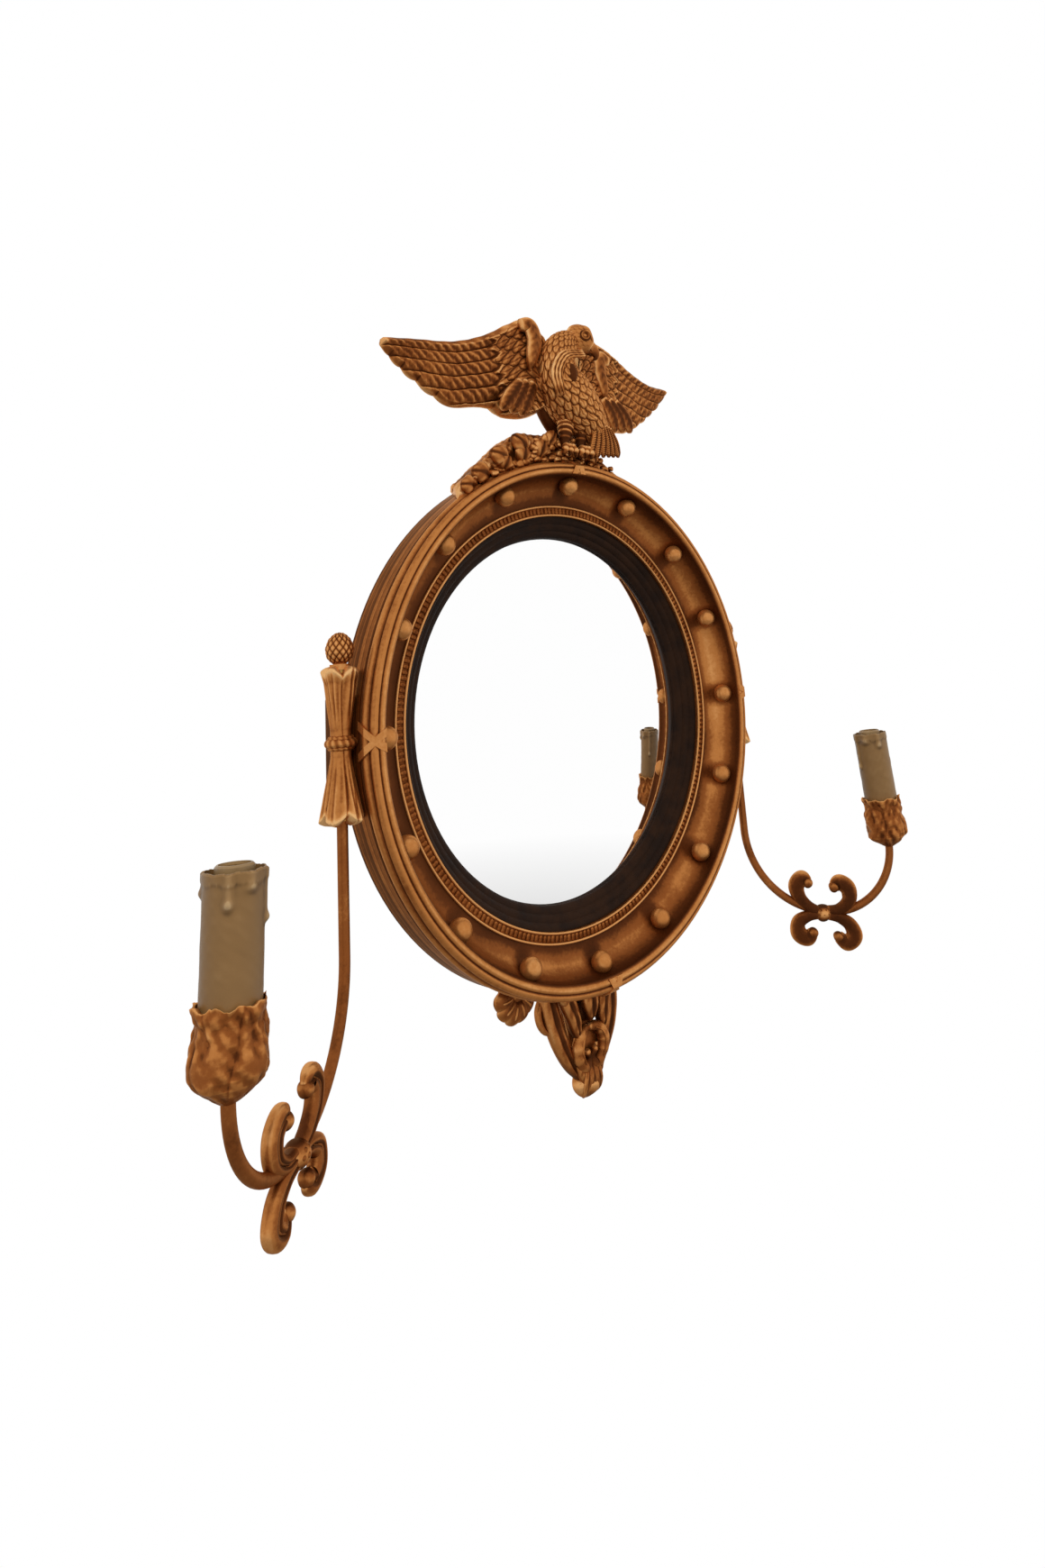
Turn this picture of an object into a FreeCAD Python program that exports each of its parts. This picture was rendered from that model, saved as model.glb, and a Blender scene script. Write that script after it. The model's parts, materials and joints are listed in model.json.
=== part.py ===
import FreeCAD, Part
import math
import os

# Girandole mirror: a convex wall mirror in a turned, gilt frame, with an eagle crest, an acanthus
# pendant and two candle arms that swivel in sheaf-shaped brackets.
#
# Millimetres. The origin is the middle of the back, on the wall. +X is to the right as the mirror
# is seen from the front, +Z is up, and +Y goes into the wall. Depth is measured from the wall
# towards the viewer, so a point at depth d has y = -d.

V = FreeCAD.Vector
FIT = 0.1               # gap between glued or screwed pieces
LOOSE = 0.4             # gap round a piece that lifts off
RUNNING = 0.05          # radial gap of the arm tube in its bushes

# Frame ring, from the circle of balls outwards and inwards
BALL_CIRCLE_R = 180.0
BALL_COUNT = 16
BALL_R = 8.0
BALL_DEPTH = 40.0
PEG_R = 2.5
PEG_LENGTH = 15.0
CAVETTO_OUTER_W = 8.0   # ball circle to the cavetto's outer edge
CAVETTO_INNER_W = 14.4  # ball circle to the cavetto's inner edge
CAVETTO_OUTER_D = 51.5
MOULDING_W = 9.4        # cavetto edge to the frame's plain side
REED_TOP_D = 53.6
REED_STEP_W = 4.6       # each of the two front reeds
REED_GROOVE = 1.0
SIDE_REED_W = 8.0
SIDE_REED_D = 47.0      # front edge of the side reed
COVE_W = 8.4            # the side steps in this much at the wall
COVE_D = 14.6
BACK_BAND_D = 4.0

# Beaded slip, dark slip and glass
BEAD_BAND_W = 8.7
BEAD_SEAT_STEP = 4.0    # the seat lies this much behind the cavetto's inner edge
BEAD_BAND_T = 3.4
FILLET_W = 1.6
FILLET_H = 1.3
LIP_T = 6.0
SLIP_W = 16.0           # visible width of the dark slip
SLIP_RISE = 1.4         # its outer edge stands this much in front of the bead seat
SLIP_FLANGE_T = 4.9
SLIP_EDGE_T = 2.2       # thickness at the sight edge
SLIP_REEDS = 3
SLIP_REED_H = 0.9
GLASS_OVERLAP = 9.0     # hidden width of glass behind the dark slip
GLASS_T = 3.5
GLASS_CURVE_R = 1000.0
SPACER_W = 9.6
FELT_T = 3.0
FELT_W = 7.0
BOARD_T = 5.0
BOARD_LEDGE_W = 10.3

# Screws
BOARD_SCREWS = 8
BOARD_SCREW_R = 1.5
BOARD_SCREW_LENGTH = 12.0
HEAD_RATIO = 2.0        # head radius over shank radius
SLOT_W = 0.7

# Keyhole hanger plate
PLATE_W = 38.0
PLATE_H = 15.0
PLATE_T = 2.0
KEYHOLE_R = 4.5
KEYHOLE_SLOT_R = 2.2
KEYHOLE_DROP = 2.2      # entry hole's centre below the plate's centre
KEYHOLE_RISE = 5.0      # slot end above the entry hole's centre
HANGER_POCKET_D = 12.0
PLATE_SCREW_X = 14.0
PLATE_SCREW_R = 1.5
PLATE_SCREW_LENGTH = 14.0

# Wiring in the back of the ring
GROOVE_W = 5.0
GROOVE_D = 6.0
GROOVE_STEPS = 8
NOTCH_H = 20.0          # the groove's ends open this high towards the brackets
LEAD_R = 1.6
TERMINAL_W = 24.0
TERMINAL_H = 11.0
TERMINAL_D = 10.0
TERMINAL_POCKET_GAP = 1.2
GROMMET_R = 4.5
GROMMET_BORE_R = 3.0
GROMMET_LENGTH = 6.0
GROMMET_DEPTH = 6.5

# Sheaf brackets: the swivel axis stands beside the ring
PIVOT_OUT = 8.3         # the axis stands this far outside the ring's side
PIVOT_D = 29.7
SHEAF_TOP_Z = 45.0
SHEAF_BOTTOM_Z = -46.0
SHEAF_TOP_R = 12.6
SHEAF_BOTTOM_R = 14.6
SHEAF_WAIST_R = 8.4
SHEAF_LEAVES = 7
LEAF_FLUTE_R = 2.4
BAND_R = 10.8
BAND_HALF_H = 3.6
BUSH_R = 5.0
BUSH_LENGTH = 9.0
PAD_H = 58.0
PAD_BACK_D = 7.0
PAD_FRONT_D = 33.0
BRACKET_SCREW_Z = 20.0
BRACKET_SCREW_D = 12.0
BRACKET_SCREW_R = 2.0
BRACKET_SCREW_LENGTH = 30.0

# Pine-cone finial on its collar
COLLAR_R = 6.4
COLLAR_T = 3.6
FINIAL_R = 9.2
FINIAL_H = 19.0
FINIAL_NECK_R = 4.8
TUBE_INTO_FINIAL = 9.0

# Candle arms, in the arm's own plane: reach is measured from the swivel axis
TUBE_R = 3.4
TUBE_BORE_R = 2.3
ARM_BEND_R = 75.0       # bend from the vertical run to the bottom
ARM_RISE_R = 54.0       # bend from the bottom up to the cup
ARM_BOTTOM_Z = -198.6
CANDLE_LEAN = 2.6       # degrees, back towards the bracket
TUBE_END_LENGTH = 15.0
LEFT_SWING = 36.0       # degrees from straight outwards along the wall, at rest
RIGHT_SWING = 50.0

# Scroll knot: four curled leaves on a sleeve round the tube
KNOT_BACK = 11.0        # the knot's middle, this much nearer the bracket than the bottom
KNOT_SLEEVE_R = 5.4
KNOT_SLEEVE_HALF = 15.0  # degrees of the bend that the sleeve covers, each way
LEAF_R = 4.6
LEAF_TIP_R = 5.6
LEAF_PLATE_T = 8.0

# Leafy cup, along the candle's axis from the end of the arm's bend
CUP_BOTTOM_H = -3.0
CUP_RIM_H = 38.0
CUP_RIM_R = 17.9
CUP_NECK_R = 16.7
CUP_BELLY_R = 19.2
CUP_BELLY_H = 12.0
CUP_LOBES = 6
CUP_LOBE_R = 6.0
CUP_FLOOR_H = 7.0
NUT_R = 6.4
NUT_T = 3.2
SLEEVE_IN_CUP = 9.0

# Candle sleeve and lampholder
SLEEVE_R = 15.2
SLEEVE_WALL = 1.5
SLEEVE_LENGTH = 66.5
HOLDER_R = 13.2
HOLDER_NECK_R = 9.4
HOLDER_BASE_T = 4.0
HOLDER_ABOVE_SLEEVE = 2.5
HOLDER_NECK_H = 9.0
SHELL_R = 7.6
SOCKET_R = 7.0
SOCKET_DEPTH = 23.0
CONTACT_R = 3.0
CONTACT_H = 2.0
SHELL_BELOW_RIM = 1.5

# Ribbon crosses over the outer moulding
RIBBON_W = 4.2
RIBBON_T = 1.3
RIBBON_ANGLE = 38.0

# Eagle crest: points are (x, depth, height above the ring's side), outlines (x, height)
BODY_FOOT = (17.0, 42.0, 26.6)      # the body's lower end
BODY_NECK = (6.0, 47.0, 101.6)      # its upper end
BODY_R = 25.0
NECK_R = 13.0
RUMP_R = 15.0
HEAD_CENTRE = (13.0, 52.0, 109.1)
HEAD_R = 14.0
BEAK_TIP = (36.0, 62.0, 98.6)
BEAK_R = 6.0
LEG_R = 7.0
LEG_SPREAD = 12.0
WING_ROOT_D = 47.0                  # front of the wing where it meets the body
WING_ROOT_T = 17.0
WING_TIP_D = 27.0
WING_TIP_T = 7.0
WING_DOWEL_R = 3.0
WING_DOWEL_LENGTH = 20.0
LEFT_WING = ((-161.5, 78.6), (-136.5, 80.1), (-101.5, 85.1), (-69.0, 103.1), (-42.0, 120.6),
             (-29.0, 123.6), (-20.0, 116.6), (-14.0, 92.6), (-14.0, 40.6), (-54.5, 28.1),
             (-71.7, 32.6), (-109.0, 36.1), (-137.0, 51.1), (-157.5, 67.1))
RIGHT_WING = ((160.0, 96.6), (126.5, 95.6), (97.0, 103.6), (70.0, 118.6), (44.0, 123.6),
              (20.0, 102.6), (20.0, 40.6), (44.0, 35.6), (76.5, 39.1), (99.5, 50.1),
              (131.0, 69.6))
TAIL = ((10.0, 38.6), (37.0, 32.6), (57.0, 8.6), (38.0, 5.6), (20.0, 5.6), (6.0, 24.6))
TAIL_FRONT_D = 53.0
TAIL_T = 7.0

# Rock plinth: heights are above the ring's side, angles from the top of the ring
PLINTH_BACK_D = 6.0
PLINTH_FRONT_D = 44.0
PLINTH_OUTLINE = ((-35.5, 3.0), (-34.5, 9.0), (-30.0, 13.0), (-25.0, 20.0), (-18.0, 30.0),
                  (-12.5, 34.0), (0.0, 30.0), (12.5, 31.0), (20.0, 22.0), (27.0, 14.0),
                  (33.0, 8.0), (35.0, 3.0))
PLINTH_SINK = 6.0                   # the outline starts this far inside the ring's side
DOWEL_R = 3.0
DOWEL_LENGTH = 26.0
DOWEL_ANGLE = 14.0

# Acanthus pendant and its shells: drops are below the ring's side, outline (x, drop)
PENDANT_BACK_D = 1.0
PENDANT_FRONT_D = 24.0
PENDANT_HALF_OUTLINE = ((36.0, -17.4), (36.0, 8.6), (33.0, 28.6), (26.0, 45.6),
                        (15.0, 60.6), (7.0, 68.6))
PENDANT_DOWEL_X = 14.0
BEVEL_R = 12.0
BULB_R = 10.5
BULB_DROP = 68.6
BULB_DEPTH = 14.0
SCROLL_R = 8.5
SCROLL_TUBE_R = 3.2
SCROLL_X = 11.0
SCROLL_DROP = 36.6
SHELL_ANGLE = 19.5                  # shell centres, either side of the bottom
SHELL_ROSE_R = 19.0
SHELL_LOBES = 5
SHELL_BACK_D = 3.0
SHELL_FRONT_D = 19.0

# Radii and depths that follow from the values above
CAVETTO_OUT_R = BALL_CIRCLE_R + CAVETTO_OUTER_W
CAVETTO_IN_R = BALL_CIRCLE_R - CAVETTO_INNER_W
SIDE_R = CAVETTO_OUT_R + MOULDING_W
BACK_R = SIDE_R - COVE_W
BEAD_OUT_R = CAVETTO_IN_R - FIT
BEAD_IN_R = BEAD_OUT_R - BEAD_BAND_W
LIP_R = BEAD_IN_R + FIT
SLIP_OUT_R = BEAD_IN_R - FIT
SIGHT_R = SLIP_OUT_R - SLIP_W
GLASS_R = SIGHT_R + GLASS_OVERLAP
GLASS_SEAT_R = GLASS_R + SPACER_W + 2.0 * FIT
BOARD_SEAT_R = GLASS_SEAT_R + BOARD_LEDGE_W
BOARD_R = BOARD_SEAT_R - 3.0 * FIT
GLASS_EDGE_D = BOARD_T + FELT_T + GLASS_T
GLASS_CENTRE_D = GLASS_EDGE_D - math.sqrt(GLASS_CURVE_R ** 2 - GLASS_R ** 2)
GLASS_AT_SIGHT_D = GLASS_CENTRE_D + math.sqrt(GLASS_CURVE_R ** 2 - SIGHT_R ** 2)
SLIP_BACK_D = GLASS_AT_SIGHT_D + FIT
LIP_BACK_D = SLIP_BACK_D + SLIP_FLANGE_T + FIT
BEAD_SEAT_D = LIP_BACK_D + LIP_T
CAVETTO_INNER_D = BEAD_SEAT_D + BEAD_SEAT_STEP

BACK_MIDDLE_R = (BOARD_SEAT_R + BACK_R) / 2.0
PLATE_CENTRE_R = BACK_MIDDLE_R
GROOVE_R = BACK_MIDDLE_R
PIVOT_X = SIDE_R + PIVOT_OUT
ARM_BOTTOM_REACH = ARM_BEND_R
KNOT_REACH = ARM_BOTTOM_REACH - KNOT_BACK
ARM_END_TURN = 90.0 + CANDLE_LEAN
CUP_REACH = ARM_BOTTOM_REACH + ARM_RISE_R * math.sin(math.radians(ARM_END_TURN))
CUP_Z = ARM_BOTTOM_Z + ARM_RISE_R * (1.0 - math.cos(math.radians(ARM_END_TURN)))
TUBE_TOP_Z = SHEAF_TOP_Z + COLLAR_T + TUBE_INTO_FINIAL
SLEEVE_BORE_R = SLEEVE_R - SLEEVE_WALL
SLEEVE_SEAT_H = CUP_RIM_H - SLEEVE_IN_CUP
HOLDER_BASE_H = CUP_FLOOR_H + NUT_T + 2.0 * FIT
HOLDER_TOP_H = SLEEVE_SEAT_H + SLEEVE_LENGTH + HOLDER_ABOVE_SLEEVE
SWINGS = {"left": (-1.0, 180.0 + LEFT_SWING), "right": (1.0, -RIGHT_SWING)}


def at(x, depth, z):
    """Point given by its depth from the wall."""
    return V(x, -depth, z)


def over_ring(x, depth, height):
    """Point above the top of the ring's side."""
    return at(x, depth, SIDE_R + height)


def raised(outline):
    """Outline given by heights above the ring's side, as (x, z)."""
    return [(x, SIDE_R + height) for x, height in outline]


def turned(steps, axis="Y"):
    """Solid of revolution. A step (r, h) is a straight line to that point, and a step
    (r, h, r2, h2) is an arc through the first point to the second. h is the depth for a
    solid turned about the mirror's axis, and the height for one turned about Z."""
    def point(r, h):
        return V(r, -h, 0) if axis == "Y" else V(r, 0, h)

    start = point(*steps[0])
    here = start
    edges = []
    for step in list(steps[1:]) + [steps[0]]:
        end = point(*step[-2:])
        if len(step) == 4:
            edges.append(Part.Arc(here, point(*step[:2]), end).toShape())
        else:
            edges.append(Part.LineSegment(here, end).toShape())
        here = end
    face = Part.Face(Part.Wire(edges))
    direction = V(0, 1, 0) if axis == "Y" else V(0, 0, 1)
    return face.revolve(V(0, 0, 0), direction, 360)


def bulge(start, end, height):
    """Arc step from start to end that stands height out to the left of the way."""
    dr = end[0] - start[0]
    dh = end[1] - start[1]
    length = math.hypot(dr, dh)
    middle_r = (start[0] + end[0]) / 2.0 - dh / length * height
    middle_h = (start[1] + end[1]) / 2.0 + dr / length * height
    return (middle_r, middle_h, end[0], end[1])


def ring_between(inner_r, outer_r, back_d, front_d):
    """Plain flat ring about the mirror's axis."""
    return turned([(inner_r, back_d), (outer_r, back_d), (outer_r, front_d), (inner_r, front_d)])


def tube_along(points, radius):
    """Round rod between points."""
    start, end = points
    way = end.sub(start)
    return Part.makeCylinder(radius, way.Length, start, way)


def plate(outline, back_d, front_d):
    """Flat plate of the given (x, z) outline between two depths."""
    corners = [at(x, back_d, z) for x, z in outline]
    face = Part.Face(Part.makePolygon(corners + [corners[0]]))
    return face.extrude(V(0, back_d - front_d, 0))


def fused(shapes):
    """One solid out of several that overlap."""
    whole = shapes[0].fuse(shapes[1:]).removeSplitter()
    return whole.Solids[0] if len(whole.Solids) == 1 else whole


def largest(shape):
    """The biggest solid of a cut shape, without the crumbs."""
    return max(shape.Solids, key=lambda solid: solid.Volume)


def around_ring(shape, degrees):
    """Copy of a shape that stands at the top of the ring, moved clockwise round it."""
    copy = shape.copy()
    copy.rotate(V(0, 0, 0), V(0, 1, 0), degrees)
    return copy


def rounded_path(points):
    """Straight runs joined by tangent arcs as large as the runs beside them allow."""
    edges = []
    here = points[0]
    for before, corner, after in zip(points, points[1:], points[2:]):
        run_in = corner.sub(before)
        run_out = after.sub(corner)
        half_turn = run_in.getAngle(run_out) / 2.0
        shorter = min(run_in.Length, run_out.Length)
        setback = 0.45 * shorter
        radius = setback / math.tan(half_turn)
        way_in = V(run_in).normalize()
        way_out = V(run_out).normalize()
        arc_start = corner.sub(way_in * setback)
        arc_end = corner.add(way_out * setback)
        inward = way_out.sub(way_in).normalize()
        middle = corner.add(inward * (radius / math.cos(half_turn) - radius))
        edges.append(Part.LineSegment(here, arc_start).toShape())
        edges.append(Part.Arc(arc_start, middle, arc_end).toShape())
        here = arc_end
    edges.append(Part.LineSegment(here, points[-1]).toShape())
    return Part.Wire(edges)


def swept_rod(path, radius):
    """Round rod swept along a path of lines and tangent arcs."""
    first = path.OrderedEdges[0]
    start = first.valueAt(first.FirstParameter)
    way = first.tangentAt(first.FirstParameter)
    circle = Part.Wire(Part.makeCircle(radius, start, way))
    return path.makePipe(Part.Face(circle))


def wood_screw(shank_r, length):
    """Countersunk screw with its head's face at z = 0 and its point at z = -length."""
    head_r = shank_r * HEAD_RATIO
    head_h = head_r - shank_r
    outline = [(0, 0), (head_r, 0), (shank_r, -head_h), (shank_r, -length + shank_r), (0, -length)]
    screw = turned(outline, "Z")
    slot = Part.makeBox(2 * head_r, SLOT_W, SLOT_W, V(-head_r, -SLOT_W / 2.0, -SLOT_W))
    return screw.cut(slot)


def screw_hole(shank_r, length):
    """Room for a wood screw, head included."""
    head_r = shank_r * HEAD_RATIO + FIT
    head_h = head_r - shank_r
    outline = [(0, 1), (head_r, 1), (head_r, 0), (shank_r + FIT, -head_h),
               (shank_r + FIT, -length - 1), (0, -length - 1)]
    return turned(outline, "Z")


def facing_wall(shape, x, z, depth):
    """Put a screw made along Z into the back, its head facing the wall."""
    copy = shape.copy()
    copy.rotate(V(0, 0, 0), V(1, 0, 0), -90)
    copy.translate(at(x, depth, z))
    return copy


def save(name, shape):
    """Write one node and print its volume."""
    shape.exportStep(os.path.join("parts", name + ".step"))
    print(f"{name}: {len(shape.Solids)} solid(s), {shape.Volume / 1000.0:.2f} cm3, {shape.isValid()}")


# ------------------------------------------------------------------ frame ring
def ring_blank():
    """The turned ring before any holes: side, reeds, cavetto, lip and rebates."""
    side_reed_end = (SIDE_R - REED_GROOVE, SIDE_REED_D)
    side_reed_start = (SIDE_R - REED_GROOVE, SIDE_REED_D - SIDE_REED_W)
    outer_reed_start = (SIDE_R - REED_GROOVE, SIDE_REED_D + REED_GROOVE)
    outer_reed_end = (CAVETTO_OUT_R + REED_STEP_W, REED_TOP_D - REED_GROOVE)
    inner_reed_end = (CAVETTO_OUT_R, REED_TOP_D - REED_GROOVE)
    cavetto_start = (CAVETTO_OUT_R - REED_GROOVE, CAVETTO_OUTER_D)
    cavetto_w = cavetto_start[0] - CAVETTO_IN_R
    cavetto_h = CAVETTO_OUTER_D - CAVETTO_INNER_D
    diagonal = math.sqrt(0.5)
    cavetto_middle = (CAVETTO_IN_R + cavetto_w * diagonal, CAVETTO_OUTER_D - cavetto_h * diagonal)
    return turned([
        (BOARD_SEAT_R, 0),
        (BACK_R, 0),
        (BACK_R, BACK_BAND_D),
        bulge((BACK_R, BACK_BAND_D), (SIDE_R, COVE_D), 1.5),
        (SIDE_R, side_reed_start[1] - REED_GROOVE),
        side_reed_start,
        bulge(side_reed_start, side_reed_end, -2.2),
        outer_reed_start,
        bulge(outer_reed_start, outer_reed_end, -2.6),
        bulge(outer_reed_end, inner_reed_end, -1.3),
        cavetto_start,
        cavetto_middle + (CAVETTO_IN_R, CAVETTO_INNER_D),
        (CAVETTO_IN_R, BEAD_SEAT_D),
        (LIP_R, BEAD_SEAT_D),
        (LIP_R, LIP_BACK_D),
        (GLASS_SEAT_R, LIP_BACK_D),
        (GLASS_SEAT_R, BOARD_T),
        (BOARD_SEAT_R, BOARD_T),
    ])


def ball_with_peg():
    """Ball at the top of the ring, on a peg that runs straight back into the wood."""
    centre = at(0, BALL_DEPTH, BALL_CIRCLE_R)
    ball = Part.makeSphere(BALL_R, centre)
    peg = Part.makeCylinder(PEG_R, PEG_LENGTH, centre, V(0, 1, 0))
    return fused([ball, peg])


def ball_seat():
    """Dimple and peg hole for one ball."""
    centre = at(0, BALL_DEPTH, BALL_CIRCLE_R)
    dimple = Part.makeSphere(BALL_R + FIT, centre)
    hole = Part.makeCylinder(PEG_R + FIT, PEG_LENGTH + 1, centre, V(0, 1, 0))
    return fused([dimple, hole])


def board_screw_places():
    """(x, z) of the screws that hold the backing board on its ledge."""
    radius = (GLASS_SEAT_R + BOARD_R) / 2.0
    turns = [(i + 0.5) * 360.0 / BOARD_SCREWS for i in range(BOARD_SCREWS)]
    return [(radius * math.sin(math.radians(t)), radius * math.cos(math.radians(t))) for t in turns]


def hanger_keyhole(front_d):
    """Entry hole and slot of the hanger, cut through to the given depth."""
    low = at(0, -1, PLATE_CENTRE_R - KEYHOLE_DROP)
    entry = Part.makeCylinder(KEYHOLE_R, front_d + 1, low, V(0, -1, 0))
    top = low.add(V(0, 0, KEYHOLE_RISE))
    end = Part.makeCylinder(KEYHOLE_SLOT_R, front_d + 1, top, V(0, -1, 0))
    corner = low.add(V(-KEYHOLE_SLOT_R, -front_d - 1, 0))
    slot = Part.makeBox(2 * KEYHOLE_SLOT_R, front_d + 1, KEYHOLE_RISE, corner)
    return fused([entry, end, slot])


def hanger_pocket():
    """Recess for the plate, and deeper room for the wall screw's head."""
    plate_box = box_between(PLATE_W + 2 * FIT, PLATE_H + 2 * FIT, -1, PLATE_T, PLATE_CENTRE_R)
    head_w = 2 * KEYHOLE_R + 2
    head_h = 2 * KEYHOLE_R + KEYHOLE_RISE - 1
    head_box = box_between(head_w, head_h, 0, HANGER_POCKET_D, PLATE_CENTRE_R)
    return fused([plate_box, head_box])


def box_between(width, height, back_d, front_d, centre_z, centre_x=0.0):
    """Box about (centre_x, centre_z) between two depths."""
    corner = at(centre_x - width / 2.0, front_d, centre_z - height / 2.0)
    return Part.makeBox(width, front_d - back_d, height, corner)


def lead_groove():
    """Groove in the ring's back, from each bracket down to the terminal pocket."""
    inner = GROOVE_R - GROOVE_W / 2.0
    ring = ring_between(inner, inner + GROOVE_W, -1, GROOVE_D)
    reach = 2 * SIDE_R
    lower_half = Part.makeBox(reach, reach, reach / 2.0, V(-reach / 2.0, -reach / 2.0, -reach / 2.0))
    groove = ring.common(lower_half)
    notches = []
    notch_z = (GROOVE_W - NOTCH_H) / 2.0
    for side in (-1, 1):
        notch_x = side * (SIDE_R + inner) / 2.0
        notches.append(box_between(SIDE_R - inner, NOTCH_H, -1, GROOVE_D, notch_z, notch_x))
    return fused([groove] + notches)


def terminal_pocket():
    """Pocket at the bottom of the ring's back for the terminal block."""
    gap = 2 * TERMINAL_POCKET_GAP
    return box_between(TERMINAL_W + gap, TERMINAL_H + gap, -1, TERMINAL_D + FIT, -GROOVE_R)


def grommet():
    """Rubber bush where the supply lead enters, below the terminal block."""
    top = at(0, GROMMET_DEPTH, grommet_top_z())
    outside = Part.makeCylinder(GROMMET_R, GROMMET_LENGTH, top, V(0, 0, -1))
    return outside.cut(Part.makeCylinder(GROMMET_BORE_R, GROMMET_LENGTH, top, V(0, 0, -1)))


def grommet_top_z():
    """The pocket's outer wall, where the grommet starts."""
    return -(GROOVE_R + TERMINAL_H / 2.0 + TERMINAL_POCKET_GAP)


def grommet_hole():
    """Radial hole for the grommet, out through the ring's side."""
    top = at(0, GROMMET_DEPTH, grommet_top_z() + 0.5)
    return Part.makeCylinder(GROMMET_R + FIT, 3 * GROMMET_LENGTH, top, V(0, 0, -1))


def bracket_screw(side, shape):
    """Put a screw made along Z through the ring into a bracket's pad."""
    placed = []
    head_x = PIVOT_X - BRACKET_SCREW_LENGTH - 1.0
    for z in (-BRACKET_SCREW_Z, BRACKET_SCREW_Z):
        copy = shape.copy()
        copy.rotate(V(0, 0, 0), V(0, 1, 0), -90 * side)
        copy.translate(at(side * head_x, BRACKET_SCREW_D, z))
        placed.append(copy)
    return placed


def bracket_screw_access(side):
    """Counterbore from the rebate to each bracket screw's head."""
    head_x = PIVOT_X - BRACKET_SCREW_LENGTH - 1.0
    radius = BRACKET_SCREW_R * HEAD_RATIO + FIT
    bores = []
    for z in (-BRACKET_SCREW_Z, BRACKET_SCREW_Z):
        start = at(side * head_x, BRACKET_SCREW_D, z)
        bores.append(Part.makeCylinder(radius, head_x - GLASS_R, start, V(-side, 0, 0)))
    return bores


def ring_dowel(x_angle, length, radius):
    """Round dowel across the ring's side, at an angle from the top of the ring."""
    depth = (PLINTH_BACK_D + PLINTH_FRONT_D) / 2.0
    foot = at(0, depth, SIDE_R - length / 2.0)
    return around_ring(Part.makeCylinder(radius, length, foot, V(0, 0, 1)), x_angle)


def frame_ring(blank):
    """The ring with every seat, hole, groove and pocket cut."""
    cuts = [around_ring(ball_seat(), i * 360.0 / BALL_COUNT) for i in range(BALL_COUNT)]
    hole = screw_hole(BOARD_SCREW_R, BOARD_SCREW_LENGTH)
    cuts += [facing_wall(hole, x, z, 0) for x, z in board_screw_places()]
    cuts += [hanger_pocket(), lead_groove(), terminal_pocket(), grommet_hole()]
    hole = screw_hole(PLATE_SCREW_R, PLATE_SCREW_LENGTH)
    cuts += [facing_wall(hole, x, PLATE_CENTRE_R, 0) for x in (-PLATE_SCREW_X, PLATE_SCREW_X)]
    for side in (-1, 1):
        cuts += bracket_screw(side, screw_hole(BRACKET_SCREW_R, BRACKET_SCREW_LENGTH))
        cuts += bracket_screw_access(side)
    for angle in (-DOWEL_ANGLE, DOWEL_ANGLE):
        cuts.append(ring_dowel(angle, DOWEL_LENGTH + FIT, DOWEL_R + FIT))
    cuts += pendant_dowels(FIT)
    return blank.cut(cuts)


def in_segments(ring):
    """The ring as it is glued up: equal segments whose joints lie midway between the balls."""
    reach = 2 * SIDE_R
    cuts = []
    for i in range(BALL_COUNT // 2):
        turn = math.radians((i + 0.5) * 360.0 / BALL_COUNT)
        x = reach * math.sin(turn)
        z = reach * math.cos(turn)
        corners = [at(-x, -reach, -z), at(x, -reach, z), at(x, reach, z), at(-x, reach, -z)]
        cuts.append(Part.Face(Part.makePolygon(corners + [corners[0]])))
    segments = ring.generalFuse(cuts)[0].Solids
    print("ring segments", len(segments), round(ring.Volume - sum(s.Volume for s in segments), 3))
    return Part.makeCompound(segments)


# ------------------------------------------------------------------ slips, glass and back
def beaded_slip():
    """Flat gilt ring with a raised fillet along each edge; the beads lie between."""
    front = BEAD_SEAT_D + BEAD_BAND_T
    top = front + FILLET_H
    return turned([
        (BEAD_IN_R, BEAD_SEAT_D),
        (BEAD_OUT_R, BEAD_SEAT_D),
        (BEAD_OUT_R, top),
        (BEAD_OUT_R - FILLET_W, top),
        (BEAD_OUT_R - FILLET_W, front),
        (BEAD_IN_R + FILLET_W, front),
        (BEAD_IN_R + FILLET_W, top),
        (BEAD_IN_R, top),
    ])


def ebonised_slip():
    """Dark ring that slopes in to the glass, with reeds on its face and a flange behind the lip."""
    outer_d = BEAD_SEAT_D + SLIP_RISE
    sight_d = SLIP_BACK_D + SLIP_EDGE_T
    steps = [(SIGHT_R, SLIP_BACK_D), (GLASS_SEAT_R - FIT, SLIP_BACK_D),
             (GLASS_SEAT_R - FIT, SLIP_BACK_D + SLIP_FLANGE_T),
             (SLIP_OUT_R, SLIP_BACK_D + SLIP_FLANGE_T), (SLIP_OUT_R, outer_d)]
    here = (SLIP_OUT_R, outer_d)
    for i in range(1, SLIP_REEDS + 1):
        share = i / SLIP_REEDS
        end = (SLIP_OUT_R - SLIP_W * share, outer_d + (sight_d - outer_d) * share)
        steps.append(bulge(here, end, -SLIP_REED_H))
        here = end
    return turned(steps)


def glass_depth(r, curve_r):
    """Depth at radius r of a sphere about the glass's centre of curvature."""
    return GLASS_CENTRE_D + math.sqrt(curve_r ** 2 - r ** 2)


def mirror_glass():
    """Convex glass of even thickness: two spheres about one centre."""
    back_curve = GLASS_CURVE_R - GLASS_T
    half = GLASS_R / 2.0
    return turned([
        (0, glass_depth(0, back_curve)),
        (half, glass_depth(half, back_curve), GLASS_R, glass_depth(GLASS_R, back_curve)),
        (GLASS_R, glass_depth(GLASS_R, GLASS_CURVE_R)),
        (half, glass_depth(half, GLASS_CURVE_R), 0, glass_depth(0, GLASS_CURVE_R)),
    ])


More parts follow.
